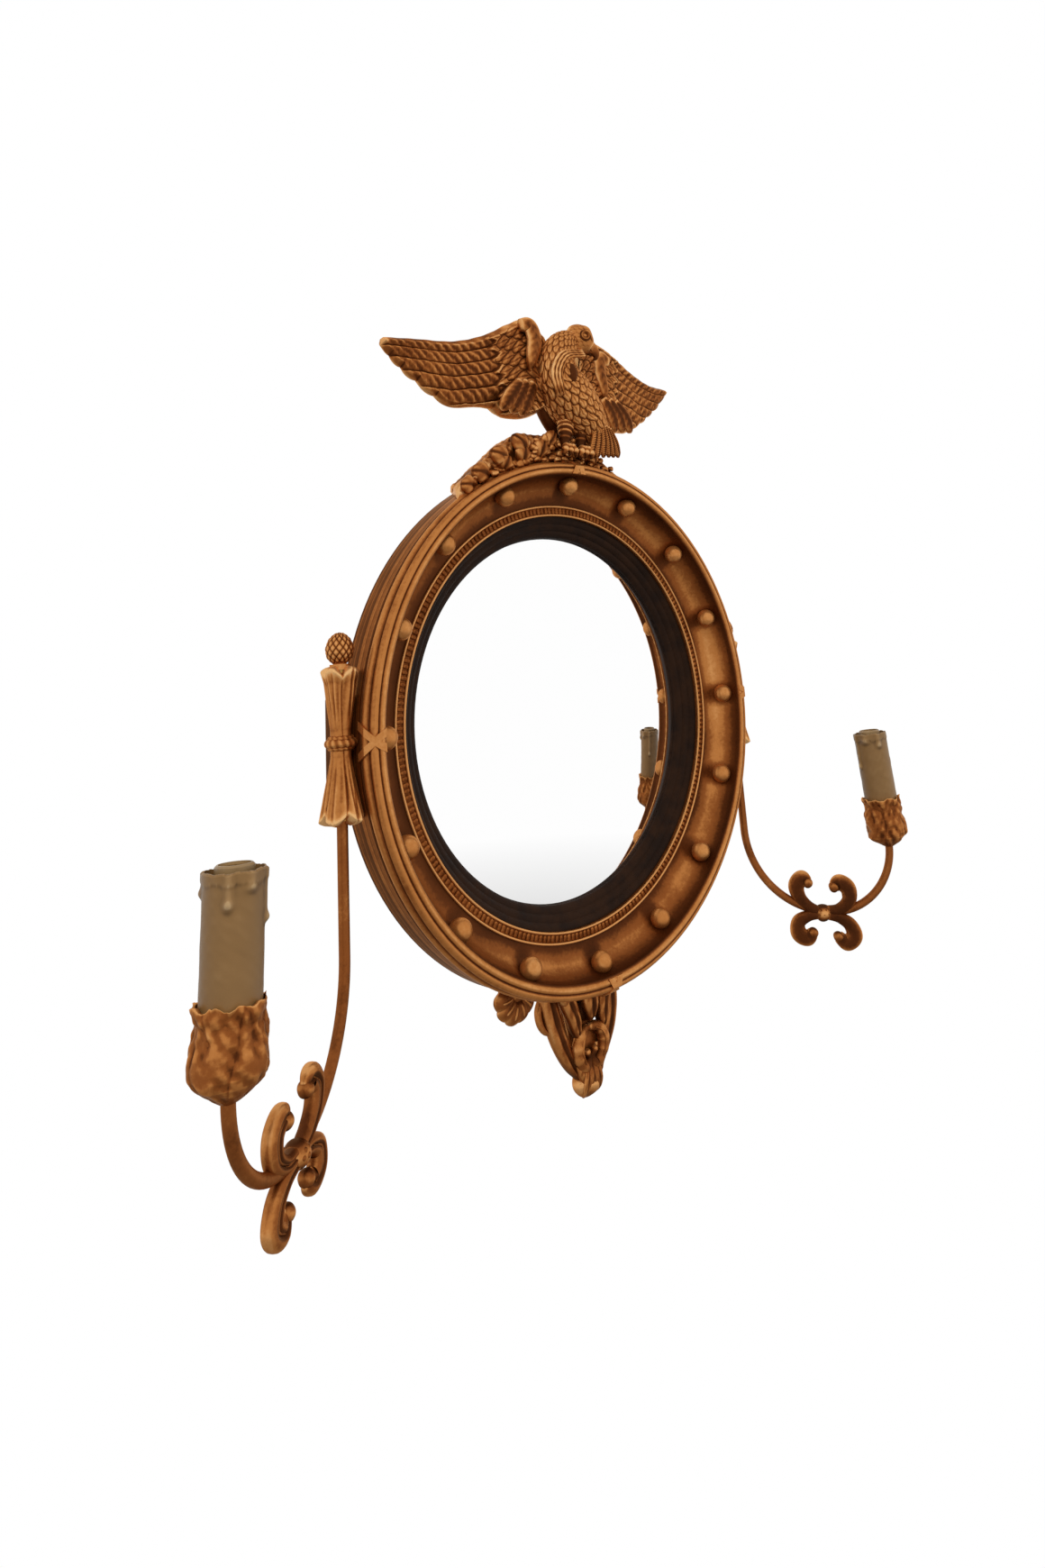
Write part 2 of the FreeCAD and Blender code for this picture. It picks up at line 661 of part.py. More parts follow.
def spacer_ring():
    """Wooden ring that centres the glass between the slip and the board."""
    return ring_between(GLASS_R + FIT, GLASS_SEAT_R - FIT, BOARD_T + FIT, SLIP_BACK_D - FIT)


def felt_ring():
    """Felt that presses the glass forward, cut to the glass's back."""
    back_curve = GLASS_CURVE_R - GLASS_T
    inner = GLASS_R - FELT_W
    return turned([
        (inner, BOARD_T + FIT),
        (GLASS_R - FIT, BOARD_T + FIT),
        (GLASS_R - FIT, glass_depth(GLASS_R - FIT, back_curve) - FIT),
        (inner, glass_depth(inner, back_curve) - FIT),
    ])


def backing_board():
    """Round board, flush with the ring's back, countersunk for its screws."""
    board = Part.makeCylinder(BOARD_R, BOARD_T, V(0, 0, 0), V(0, -1, 0))
    hole = screw_hole(BOARD_SCREW_R, BOARD_SCREW_LENGTH)
    return board.cut([facing_wall(hole, x, z, 0) for x, z in board_screw_places()])


def hanger_plate():
    """Brass plate with a keyhole, flush in the ring's back."""
    flat = box_between(PLATE_W, PLATE_H, 0, PLATE_T, PLATE_CENTRE_R)
    hole = screw_hole(PLATE_SCREW_R, PLATE_SCREW_LENGTH)
    holes = [facing_wall(hole, x, PLATE_CENTRE_R, 0) for x in (-PLATE_SCREW_X, PLATE_SCREW_X)]
    return flat.cut(holes + [hanger_keyhole(PLATE_T)])


def terminal_block():
    """Block with two screw clamps whose openings face the wall."""
    block = box_between(TERMINAL_W, TERMINAL_H, 1, TERMINAL_D, -GROOVE_R)
    cuts = []
    for x in (-TERMINAL_W / 4.0, TERMINAL_W / 4.0):
        cuts.append(Part.makeCylinder(2.0, 4, at(x, 0, -GROOVE_R), V(0, -1, 0)))
    return block.cut(cuts)


def terminal_screws():
    """The clamps' brass screws, at the bottom of their openings."""
    screws = []
    for x in (-TERMINAL_W / 4.0, TERMINAL_W / 4.0):
        screws.append(Part.makeCylinder(1.9, 1.4, at(x, 2.5, -GROOVE_R), V(0, -1, 0)))
    return Part.makeCompound(screws)


def frame_lead(side, gap=0.0):
    """Lead from the bracket's foot, round the groove, to the side of the terminal block."""
    depth = GROOVE_D / 2.0
    axis = at(side * PIVOT_X, PIVOT_D, 0)
    elbow = at(side * (SIDE_R + 1.0), depth, 0)
    way = elbow.sub(axis).normalize()
    points = [axis.add(way * (BUSH_R + LEAD_R)), elbow, at(side * GROOVE_R, depth, 0)]
    last_turn = math.degrees(math.asin((TERMINAL_W / 2.0 + 9) / GROOVE_R))
    first_turn = 90.0 - math.degrees(math.asin(16.0 / GROOVE_R))
    for i in range(GROOVE_STEPS + 1):
        turn = math.radians(first_turn + (last_turn - first_turn) * i / GROOVE_STEPS)
        points.append(at(side * GROOVE_R * math.sin(turn), depth, -GROOVE_R * math.cos(turn)))
    points.append(at(side * (TERMINAL_W / 2.0), depth, -GROOVE_R))
    return swept_rod(rounded_path(points), LEAD_R + gap)


# ------------------------------------------------------------------ ribbon crosses
def ribbon_cross(blank, angle):
    """Two crossed bands that lie over the outer moulding, at an angle round the ring."""
    middle_d = (SIDE_REED_D + REED_TOP_D) / 2.0
    skin = turned([
        (CAVETTO_OUT_R - 0.2, REED_TOP_D - 3.0),
        (CAVETTO_OUT_R - 0.2, REED_TOP_D + 0.4),
        (SIDE_R - 3.0, REED_TOP_D + RIBBON_T),
        (SIDE_R + 0.6, REED_TOP_D - 2.0),
        (SIDE_R + 1.6 + RIBBON_T, SIDE_REED_D),
        (SIDE_R + 1.0 + RIBBON_T, SIDE_REED_D - SIDE_REED_W),
        (SIDE_R - 3.0, SIDE_REED_D - SIDE_REED_W),
        (SIDE_R - 3.0, REED_TOP_D - 3.0),
    ])
    centre = at(0, middle_d, (CAVETTO_OUT_R + SIDE_R) / 2.0)
    outward = V(0, -1, 1)
    length = 6 * MOULDING_W
    bands = []
    for tilt in (-RIBBON_ANGLE, RIBBON_ANGLE):
        band = Part.makeBox(RIBBON_W, length, length, V(-RIBBON_W / 2.0, -length / 2.0, -length / 2.0))
        band.rotate(V(0, 0, 0), outward, tilt)
        band.translate(centre)
        bands.append(band)
    corner = V(-length / 2.0, -length - REED_TOP_D, SIDE_R - length / 2.0)
    near_top = Part.makeBox(length, 2 * length, length, corner)
    cross = skin.common(near_top).common(fused(bands)).cut(blank)
    return around_ring(largest(cross), angle)


# ------------------------------------------------------------------ sheaf brackets
def bracket_pad(blank, side):
    """Block between the ring's side and the sheaf, cut to the ring."""
    inner_x = SIDE_R - 20.0
    width = PIVOT_X - inner_x
    centre_x = side * (inner_x + PIVOT_X) / 2.0
    block = box_between(width, PAD_H, PAD_BACK_D, PAD_FRONT_D, 0, centre_x)
    return block.cut(blank)


def sheaf(blank, side):
    """Bound sheaf of leaves, flared at both ends and fluted between the leaves, on its pad."""
    body = turned([
        (0, SHEAF_BOTTOM_Z),
        (SHEAF_BOTTOM_R - 1.2, SHEAF_BOTTOM_Z),
        (SHEAF_BOTTOM_R, SHEAF_BOTTOM_Z + 2.5),
        bulge((SHEAF_BOTTOM_R, SHEAF_BOTTOM_Z + 2.5), (SHEAF_WAIST_R, -BAND_HALF_H - 5), 1.5),
        (SHEAF_WAIST_R, BAND_HALF_H + 5),
        bulge((SHEAF_WAIST_R, BAND_HALF_H + 5), (SHEAF_TOP_R, SHEAF_TOP_Z - 2.5), 1.0),
        (SHEAF_TOP_R - 1.2, SHEAF_TOP_Z),
        (0, SHEAF_TOP_Z),
    ], "Z")
    flutes = []
    for i in range(SHEAF_LEAVES):
        turn = math.radians(360.0 * (i + 0.5) / SHEAF_LEAVES)
        for end_z, end_r in ((SHEAF_TOP_Z + 1, SHEAF_TOP_R), (SHEAF_BOTTOM_Z - 1, SHEAF_BOTTOM_R)):
            outer = V((end_r + 1.6) * math.cos(turn), (end_r + 1.6) * math.sin(turn), end_z)
            waist = SHEAF_WAIST_R + LEAF_FLUTE_R
            inner_z = math.copysign(BAND_HALF_H + 9, end_z)
            inner = V(waist * math.cos(turn), waist * math.sin(turn), inner_z)
            flutes.append(tube_along((outer, inner), LEAF_FLUTE_R))
    body = body.cut(flutes)
    body.translate(at(side * PIVOT_X, PIVOT_D, 0))
    body = body.cut(blank)
    pad = bracket_pad(blank, side)
    whole = fused([body, pad])
    bore_start = at(side * PIVOT_X, PIVOT_D, SHEAF_BOTTOM_Z - 1)
    height = SHEAF_TOP_Z - SHEAF_BOTTOM_Z + 2
    cuts = [Part.makeCylinder(TUBE_R + LOOSE, height, bore_start)]
    for z in (SHEAF_BOTTOM_Z - 1, SHEAF_TOP_Z - BUSH_LENGTH):
        cuts.append(Part.makeCylinder(BUSH_R, BUSH_LENGTH + 1, at(side * PIVOT_X, PIVOT_D, z)))
    cuts += bracket_screw(side, screw_hole(BRACKET_SCREW_R, BRACKET_SCREW_LENGTH))
    lead_start = at(side * PIVOT_X, PIVOT_D, 0)
    lead_end = at(side * (SIDE_R + 1.0), GROOVE_D / 2.0, 0)
    cuts.append(tube_along((lead_start, lead_end), LEAD_R + LOOSE))
    cuts.append(frame_lead(side, LOOSE))
    return largest(whole.cut(cuts))


def sheaf_band(blank, side, sheaf_body):
    """Rounded binding round the sheaf's waist, open where the pad passes."""
    ring = turned([
        (SHEAF_WAIST_R - 1.5, -BAND_HALF_H),
        (BAND_R - 1.6, -BAND_HALF_H),
        bulge((BAND_R - 1.6, -BAND_HALF_H), (BAND_R - 1.6, BAND_HALF_H), -1.6),
        (SHEAF_WAIST_R - 1.5, BAND_HALF_H),
    ], "Z")
    ring.translate(at(side * PIVOT_X, PIVOT_D, 0))
    rest = ring.cut(blank).cut(sheaf_body)
    return largest(rest)


def pivot_bushes(side):
    """Brass bush in each end of the sheaf; the arm's tube turns in them."""
    bushes = []
    for z in (SHEAF_BOTTOM_Z, SHEAF_TOP_Z - BUSH_LENGTH):
        start = at(side * PIVOT_X, PIVOT_D, z)
        outside = Part.makeCylinder(BUSH_R, BUSH_LENGTH, start)
        bushes.append(outside.cut(Part.makeCylinder(TUBE_R + RUNNING, BUSH_LENGTH, start)))
    return Part.makeCompound(bushes)


# ------------------------------------------------------------------ candle arm
def onto_bracket(shape, side_name):
    """Move a piece from the arm's own plane to its bracket, at the rest angle."""
    side, turn = SWINGS[side_name]
    copy = shape.copy()
    copy.rotate(V(0, 0, 0), V(0, 0, 1), turn)
    copy.translate(at(side * PIVOT_X, PIVOT_D, 0))
    return copy


def onto_cup(shape):
    """Move a piece made along Z to the end of the arm's bend, leaning with the candle."""
    copy = shape.copy()
    copy.rotate(V(0, 0, 0), V(0, 1, 0), -CANDLE_LEAN)
    copy.translate(V(CUP_REACH, 0, CUP_Z))
    return copy


def bend_point(reach, z, radius, turn):
    """Point on a bend about (reach, z), at an angle from straight down."""
    angle = math.radians(turn)
    return V(reach + radius * math.sin(angle), 0, z - radius * math.cos(angle))


def arm_path(top_z, end_length):
    """Centre line: down from the bracket, round the bottom and up to the cup."""
    bend_z = ARM_BOTTOM_Z + ARM_BEND_R
    rise_z = ARM_BOTTOM_Z + ARM_RISE_R
    bend_middle = bend_point(ARM_BOTTOM_REACH, bend_z, ARM_BEND_R, -45)
    bottom = V(ARM_BOTTOM_REACH, 0, ARM_BOTTOM_Z)
    rise_middle = bend_point(ARM_BOTTOM_REACH, rise_z, ARM_RISE_R, ARM_END_TURN / 2.0)
    cup = V(CUP_REACH, 0, CUP_Z)
    lean = math.radians(CANDLE_LEAN)
    end = cup.add(V(-math.sin(lean), 0, math.cos(lean)) * end_length)
    return Part.Wire([
        Part.LineSegment(V(0, 0, top_z), V(0, 0, bend_z)).toShape(),
        Part.Arc(V(0, 0, bend_z), bend_middle, bottom).toShape(),
        Part.Arc(bottom, rise_middle, cup).toShape(),
        Part.LineSegment(cup, end).toShape(),
    ])


def arm_tube():
    """Bent brass tube with a window for the lead where it passes through the sheaf."""
    outside = swept_rod(arm_path(TUBE_TOP_Z, TUBE_END_LENGTH), TUBE_R)
    inside = swept_rod(arm_path(TUBE_TOP_Z, TUBE_END_LENGTH), TUBE_BORE_R)
    window = Part.makeBox(2 * TUBE_R, 3.0, 8.0, V(-2 * TUBE_R, -1.5, -4.0))
    return outside.cut([inside, window])


def arm_lead():
    """Lead inside the tube, from the window to the lampholder."""
    return swept_rod(arm_path(4.0, TUBE_END_LENGTH), LEAD_R)


def finial_collar():
    """Flange that carries the arm on the sheaf's top."""
    z = SHEAF_TOP_Z + FIT
    ring = Part.makeCylinder(COLLAR_R, COLLAR_T - FIT, V(0, 0, z))
    return ring.cut(Part.makeCylinder(TUBE_R, COLLAR_T, V(0, 0, z)))


def pine_finial():
    """Round cone on a short neck, bored for the tube's end."""
    base = SHEAF_TOP_Z + COLLAR_T
    neck = Part.makeCylinder(FINIAL_NECK_R, FINIAL_R, V(0, 0, base))
    cone = Part.makeSphere(FINIAL_R, V(0, 0, base + FINIAL_H - FINIAL_R))
    return fused([neck, cone]).cut(Part.makeCylinder(TUBE_R, TUBE_INTO_FINIAL, V(0, 0, base)))


def curled_leaf(points):
    """Leaf of the knot: a rod that curls through three points and ends in a rounded tip."""
    root, middle, tip = points
    arc = Part.Wire(Part.Arc(root, middle, tip).toShape())
    return fused([swept_rod(arc, LEAF_R), Part.makeSphere(LEAF_TIP_R, tip)])


def scroll_knot():
    """Sleeve on the tube with four curled leaves, two up and two down."""
    bend_z = ARM_BOTTOM_Z + ARM_BEND_R
    bottom = bend_point(ARM_BOTTOM_REACH, bend_z, ARM_BEND_R, 0)
    start = bend_point(ARM_BOTTOM_REACH, bend_z, ARM_BEND_R, -2 * KNOT_SLEEVE_HALF)
    middle = bend_point(ARM_BOTTOM_REACH, bend_z, ARM_BEND_R, -KNOT_SLEEVE_HALF)
    sleeve_path = Part.Wire(Part.Arc(start, middle, bottom).toShape())
    sleeve = swept_rod(sleeve_path, KNOT_SLEEVE_R)
    z = ARM_BOTTOM_Z
    reach = KNOT_REACH
    leaves = [
        (V(reach - 14, 0, z + 5), V(reach - 24, 0, z + 18), V(reach - 15, 0, z + 27)),
        (V(reach + 8, 0, z + 2), V(reach + 22, 0, z + 14), V(reach + 13, 0, z + 25)),
        (V(reach - 10, 0, z + 1), V(reach - 22, 0, z - 12), V(reach - 14, 0, z - 20)),
        (V(reach + 6, 0, z - 1), V(reach + 23, 0, z - 14), V(reach + 15, 0, z - 24)),
    ]
    whole = fused([sleeve] + [curled_leaf(points) for points in leaves])
    half = LEAF_PLATE_T / 2.0
    reach_all = ARM_BEND_R + ARM_RISE_R
    corner = V(KNOT_REACH - reach_all, -half, ARM_BOTTOM_Z - reach_all)
    slab = Part.makeBox(2 * reach_all, LEAF_PLATE_T, 2 * reach_all, corner)
    flat = fused([whole.common(slab), sleeve])
    return flat.cut(swept_rod(arm_path(TUBE_TOP_Z, TUBE_END_LENGTH), TUBE_R))


def socket_cup():
    """Leafy cup: lobed belly, flared rim, seats for the sleeve and the lampholder inside."""
    stem = (TUBE_R + 2.2, CUP_BOTTOM_H)
    belly = (CUP_BELLY_R - 1.6, CUP_BELLY_H)
    neck = (CUP_NECK_R, CUP_RIM_H - SLEEVE_IN_CUP)
    outside = turned([
        (0, CUP_BOTTOM_H),
        stem,
        bulge(stem, belly, -4.0),
        bulge(belly, neck, -0.6),
        (CUP_RIM_R, CUP_RIM_H),
        (0, CUP_RIM_H),
    ], "Z")
    lobes = []
    for i in range(CUP_LOBES):
        turn = math.radians(360.0 * i / CUP_LOBES)
        radius = CUP_BELLY_R - CUP_LOBE_R + 1.3
        centre = V(radius * math.cos(turn), radius * math.sin(turn), CUP_BELLY_H)
        lobes.append(Part.makeSphere(CUP_LOBE_R, centre))
    cuts = [
        Part.makeCylinder(TUBE_R + FIT, 2 * CUP_RIM_H, V(0, 0, -CUP_RIM_H)),
        Part.makeCylinder(HOLDER_R + LOOSE, CUP_RIM_H, V(0, 0, CUP_FLOOR_H)),
        Part.makeCylinder(SLEEVE_R + LOOSE, CUP_RIM_H, V(0, 0, SLEEVE_SEAT_H)),
    ]
    return fused([outside] + lobes).cut(cuts)


def cup_nut():
    """Hexagon nut that clamps the cup's floor on the tube's end."""
    base = CUP_FLOOR_H
    corners = []
    for i in range(7):
        turn = math.radians(60.0 * i)
        corners.append(V(NUT_R * math.cos(turn), NUT_R * math.sin(turn), base))
    nut = Part.Face(Part.makePolygon(corners)).extrude(V(0, 0, NUT_T))
    return nut.cut(Part.makeCylinder(TUBE_R + FIT, NUT_T, V(0, 0, base)))


def lampholder():
    """Small screw-cap lampholder: skirt, shoulder and a neck just proud of the sleeve."""
    neck_base = HOLDER_TOP_H - HOLDER_NECK_H
    outside = turned([
        (0, HOLDER_BASE_H),
        (HOLDER_R, HOLDER_BASE_H),
        (HOLDER_R, neck_base - 3.0),
        (HOLDER_NECK_R, neck_base),
        (HOLDER_NECK_R, HOLDER_TOP_H - 1.0),
        (HOLDER_NECK_R - 1.0, HOLDER_TOP_H),
        (0, HOLDER_TOP_H),
    ], "Z")
    room_base = HOLDER_BASE_H + HOLDER_BASE_T
    room_top = HOLDER_TOP_H - SOCKET_DEPTH - 6.0
    cuts = [
        Part.makeCylinder(TUBE_R + FIT, HOLDER_BASE_T, V(0, 0, HOLDER_BASE_H)),
        Part.makeCylinder(HOLDER_R - 2.0, room_top - room_base, V(0, 0, room_base)),
        Part.makeCylinder(SHELL_R + FIT, SOCKET_DEPTH + 1, V(0, 0, HOLDER_TOP_H - SOCKET_DEPTH)),
        Part.makeCylinder(LEAD_R + FIT, 20, V(0, 0, room_top - 1)),
    ]
    return outside.cut(cuts)


def socket_shell():
    """Brass screw shell of the lampholder and the contact at its bottom."""
    base = HOLDER_TOP_H - SOCKET_DEPTH
    length = SOCKET_DEPTH - CONTACT_H - SHELL_BELOW_RIM
    shell = Part.makeCylinder(SHELL_R, length, V(0, 0, base + CONTACT_H))
    shell = shell.cut(Part.makeCylinder(SOCKET_R, length, V(0, 0, base + CONTACT_H)))
    contact = Part.makeCone(CONTACT_R, CONTACT_R - 1.0, CONTACT_H, V(0, 0, base))
    return Part.makeCompound([shell, contact])


def candle_sleeve():
    """Card tube with wax drips down its outside and a lumpy rim."""
    base = SLEEVE_SEAT_H
    top = base + SLEEVE_LENGTH
    outside = Part.makeCylinder(SLEEVE_R, SLEEVE_LENGTH, V(0, 0, base))
    drips = []
    for turn, length in ((20.0, 16.0), (110.0, 25.0), (200.0, 30.0), (285.0, 12.0)):
        angle = math.radians(turn)
        centre = V((SLEEVE_R - 0.9) * math.cos(angle), (SLEEVE_R - 0.9) * math.sin(angle), top - length)
        drips.append(Part.makeCylinder(1.7, length, centre))
        drips.append(Part.makeSphere(2.0, centre))
    whole = fused([outside] + drips)
    return whole.cut(Part.makeCylinder(SLEEVE_BORE_R, SLEEVE_LENGTH + 4, V(0, 0, base - 2)))


# ------------------------------------------------------------------ eagle crest
def eagle_body():
    """Egg-shaped body with neck, head, hooked beak and legs, carved in one."""
    foot = over_ring(*BODY_FOOT)
    neck = over_ring(*BODY_NECK)
    way = neck.sub(foot)
    length = way.Length
    egg = turned([
        (0, 0),
        (RUMP_R, 0),
        (BODY_R, length * 0.42, NECK_R, length),
        (0, length),
    ], "Z")
    egg.Placement = FreeCAD.Placement(foot, FreeCAD.Rotation(V(0, 0, 1), way))
    head_centre = over_ring(*HEAD_CENTRE)
    beak_way = over_ring(*BEAK_TIP).sub(head_centre)
    pieces = [egg, Part.makeSphere(HEAD_R, head_centre)]
    pieces.append(Part.makeCone(BEAK_R, 1.0, beak_way.Length, head_centre, beak_way))
    for side in (-1, 1):
        knee = over_ring(BODY_FOOT[0] + side * LEG_SPREAD, BODY_FOOT[1], BODY_FOOT[2] + 2 * LEG_R)
        claw = over_ring(side * LEG_SPREAD, PLINTH_FRONT_D - LEG_R, BODY_FOOT[2] - LEG_R)
        pieces.append(tube_along((knee, claw), LEG_R))
    return fused(pieces)


def wing(outline, side, body):
    """Wing plate that thins and sweeps back from the body to its tip, cut to the body."""
    tip_x = side * max(side * x for x, z in outline)
    root_x = 0.0
    low = -FIT
    high = WING_ROOT_D + FIT
    flat = plate(outline, low, high)
    plan = [at(root_x, WING_ROOT_D - WING_ROOT_T, 0), at(root_x, WING_ROOT_D, 0),
            at(tip_x, WING_TIP_D, 0), at(tip_x, WING_TIP_D - WING_TIP_T, 0)]
    wedge = Part.Face(Part.makePolygon(plan + [plan[0]])).extrude(V(0, 0, 2 * SIDE_R))
    whole = flat.common(wedge).cut(body)
    return largest(whole)


def wing_dowels(gap):
    """Two dowels that carry the wings in the body."""
    dowels = []
    depth = WING_ROOT_D - WING_ROOT_T / 2.0
    centre_x = (BODY_NECK[0] + BODY_FOOT[0]) / 2.0
    centre_z = SIDE_R + (BODY_FOOT[2] + BODY_NECK[2]) / 2.0
    for x in (centre_x - BODY_R, centre_x + BODY_R):
        start = at(x - WING_DOWEL_LENGTH / 2.0, depth, centre_z)
        dowels.append(Part.makeCylinder(WING_DOWEL_R + gap, WING_DOWEL_LENGTH, start, V(1, 0, 0)))
    return dowels


def eagle_tail(body):
    """Fan of tail feathers in front of the plinth."""
    fan = plate(raised(TAIL), TAIL_FRONT_D - TAIL_T, TAIL_FRONT_D).cut(body)
    return largest(fan)


def eagle_plinth(blank, body, tail):
    """Rocky mound that hugs the ring's top under the eagle."""
    def outline_point(turn, height):
        radius = SIDE_R + height
        return (radius * math.sin(math.radians(turn)), radius * math.cos(math.radians(turn)))

    start = PLINTH_OUTLINE[0][0]
    end = PLINTH_OUTLINE[-1][0]
    outline = [outline_point(turn, height) for turn, height in PLINTH_OUTLINE]
    outline += [outline_point(end - (end - start) * i / 8.0, -PLINTH_SINK) for i in range(9)]
    mound = plate(outline, PLINTH_BACK_D, PLINTH_FRONT_D)
    rest = mound.cut([blank, body, tail, ribbon_cross(blank, 0)])
    dowels = [ring_dowel(angle, DOWEL_LENGTH + FIT, DOWEL_R + FIT) for angle in (-DOWEL_ANGLE, DOWEL_ANGLE)]
    rest = rest.cut(dowels)
    return largest(rest)


# ------------------------------------------------------------------ pendant
def pendant_dowels(gap):
    """Two dowels from the ring's side down into the pendant."""
    dowels = []
    for x in (-PENDANT_DOWEL_X, PENDANT_DOWEL_X):
        start = at(x, COVE_D + 2.0, -SIDE_R + DOWEL_LENGTH / 2.0 + gap)
        dowels.append(Part.makeCylinder(DOWEL_R + gap, DOWEL_LENGTH + 2 * gap, start, V(0, 0, -1)))
    return dowels


def pendant_scrolls():
    """Two C-scrolls in front of the pendant, and the ball of the tip."""
    scrolls = []
    for side in (-1, 1):
        centre = at(side * SCROLL_X, PENDANT_FRONT_D, -SIDE_R - SCROLL_DROP)
        scrolls.append(Part.makeTorus(SCROLL_R, SCROLL_TUBE_R, centre, V(0, 1, 0)))
    return scrolls


def acanthus_pendant(blank):
    """Leaf that hangs from the ring, pierced near its top, with raised scrolls and a round tip."""
    right = [(x, -SIDE_R - drop) for x, drop in PENDANT_HALF_OUTLINE]
    left = [(-x, z) for x, z in reversed(right)]
    leaf = plate(right + left, PENDANT_BACK_D, PENDANT_FRONT_D)
    bulb = Part.makeSphere(BULB_R, at(0, BULB_DEPTH, -SIDE_R - BULB_DROP))
    whole = fused([leaf, bulb] + pendant_scrolls())
    cuts = [blank] + pendant_dowels(FIT)
    for side in (-1, 1):
        pierced = at(side * SCROLL_X * 2.0, 0, -SIDE_R - 18.0)
        cuts.append(Part.makeCylinder(3.0, 2 * PENDANT_FRONT_D, pierced, V(0, -1, 0)))
        edge = at(side * PENDANT_HALF_OUTLINE[2][0], PENDANT_FRONT_D + BEVEL_R / 2.0, 0)
        bevel = Part.makeCylinder(BEVEL_R, 2 * SIDE_R, edge, V(0, 0, -1))
        cuts.append(bevel)
    rest = whole.cut(cuts)
    channel = Part.makeCylinder(GROMMET_R + LOOSE, 2 * SIDE_R, at(0, GROMMET_DEPTH, 0), V(0, 0, -1))
    open_back = box_between(2 * (GROMMET_R + LOOSE), SIDE_R, -1, GROMMET_DEPTH, -1.4 * SIDE_R)
    rest = rest.cut([channel, open_back])
    return largest(rest)


def pendant_shell(blank, pendant, side):
    """Half rosette of rounded lobes against the ring's side."""
    angle = math.radians(180.0 - side * SHELL_ANGLE)
    centre_x = (SIDE_R - 1.0) * math.sin(angle)
    centre_z = (SIDE_R - 1.0) * math.cos(angle)
    height = SHELL_FRONT_D - SHELL_BACK_D
    pieces = [Part.makeCylinder(SHELL_ROSE_R * 0.8, height, at(centre_x, SHELL_BACK_D, centre_z), V(0, -1, 0))]
    for i in range(SHELL_LOBES):
        turn = angle + math.radians((i - (SHELL_LOBES - 1) / 2.0) * 36.0)
        lobe_r = SHELL_ROSE_R * 0.30
        x = centre_x + (SHELL_ROSE_R - lobe_r) * math.sin(turn)
        z = centre_z + (SHELL_ROSE_R - lobe_r) * math.cos(turn)
        pieces.append(Part.makeCylinder(lobe_r, height, at(x, SHELL_BACK_D, z), V(0, -1, 0)))
    rest = fused(pieces).cut([blank, pendant])
    return largest(rest)


# ------------------------------------------------------------------ assembly
def build_frame(blank):
    """Ring, balls, slips, glass, board and everything in the back."""
    save("frame_ring", in_segments(frame_ring(blank)))
    balls = [around_ring(ball_with_peg(), i * 360.0 / BALL_COUNT) for i in range(BALL_COUNT)]
    save("cavetto_balls", Part.makeCompound(balls))
    save("beaded_slip", beaded_slip())
    save("ebonised_slip", ebonised_slip())
    save("mirror_glass", mirror_glass())
    save("spacer_ring", spacer_ring())
    save("felt_ring", felt_ring())
    save("backing_board", backing_board())
    screw = wood_screw(BOARD_SCREW_R, BOARD_SCREW_LENGTH)
    screws = [facing_wall(screw, x, z, 0) for x, z in board_screw_places()]
    save("board_screws", Part.makeCompound(screws))
    save("hanger_plate", hanger_plate())
    screw = wood_screw(PLATE_SCREW_R, PLATE_SCREW_LENGTH)
    screws = [facing_wall(screw, x, PLATE_CENTRE_R, 0) for x in (-PLATE_SCREW_X, PLATE_SCREW_X)]
    save("hanger_screws", Part.makeCompound(screws))
    save("terminal_block", terminal_block())
    save("terminal_screws", terminal_screws())
    save("inlet_grommet", grommet())
    for name, angle in (("top", 0), ("right", 90), ("bottom", 180), ("left", 270)):
        save("ribbon_cross_" + name, ribbon_cross(blank, angle))


def build_brackets(blank):
    """Sheaf, band, bushes, screws and frame lead on each side."""
    screw = wood_screw(BRACKET_SCREW_R, BRACKET_SCREW_LENGTH)
    for name, (side, turn) in SWINGS.items():
        body = sheaf(blank, side)
        save("sheaf_bracket_" + name, body)
        save("sheaf_band_" + name, sheaf_band(blank, side, body))
        save("pivot_bushes_" + name, pivot_bushes(side))
        save("bracket_screws_" + name, Part.makeCompound(bracket_screw(side, screw)))
        save("frame_lead_" + name, frame_lead(side))


def build_arms():
    """Both candle arms, made in the arm's plane and swung to their rest angles."""
    pieces = {
        "arm_tube": arm_tube(),
        "arm_lead": arm_lead(),
        "finial_collar": finial_collar(),
        "pine_finial": pine_finial(),
        "scroll_knot": scroll_knot(),
        "socket_cup": onto_cup(socket_cup()),
        "cup_nut": onto_cup(cup_nut()),
        "lampholder": onto_cup(lampholder()),
        "socket_shell": onto_cup(socket_shell()),
        "candle_sleeve": onto_cup(candle_sleeve()),
    }
    for side_name in SWINGS:
        for name, shape in pieces.items():
            save(name + "_" + side_name, onto_bracket(shape, side_name))


def build_crest(blank):
    """Eagle on its rock."""
    body = eagle_body()
    tail = eagle_tail(body)
    left = wing(raised(LEFT_WING), -1, body)
    right = wing(raised(RIGHT_WING), 1, body)
    holes = wing_dowels(FIT)
    save("eagle_body", body.cut(holes))
    save("eagle_tail", tail)
    save("eagle_wing_left", left.cut(holes + [tail]))
    save("eagle_wing_right", right.cut(holes + [tail]))
    save("wing_dowels", Part.makeCompound(wing_dowels(0)))
    save("eagle_plinth", eagle_plinth(blank, body, tail).cut([left, right]))
    dowels = [ring_dowel(angle, DOWEL_LENGTH, DOWEL_R) for angle in (-DOWEL_ANGLE, DOWEL_ANGLE)]
    save("plinth_dowels", Part.makeCompound(dowels))


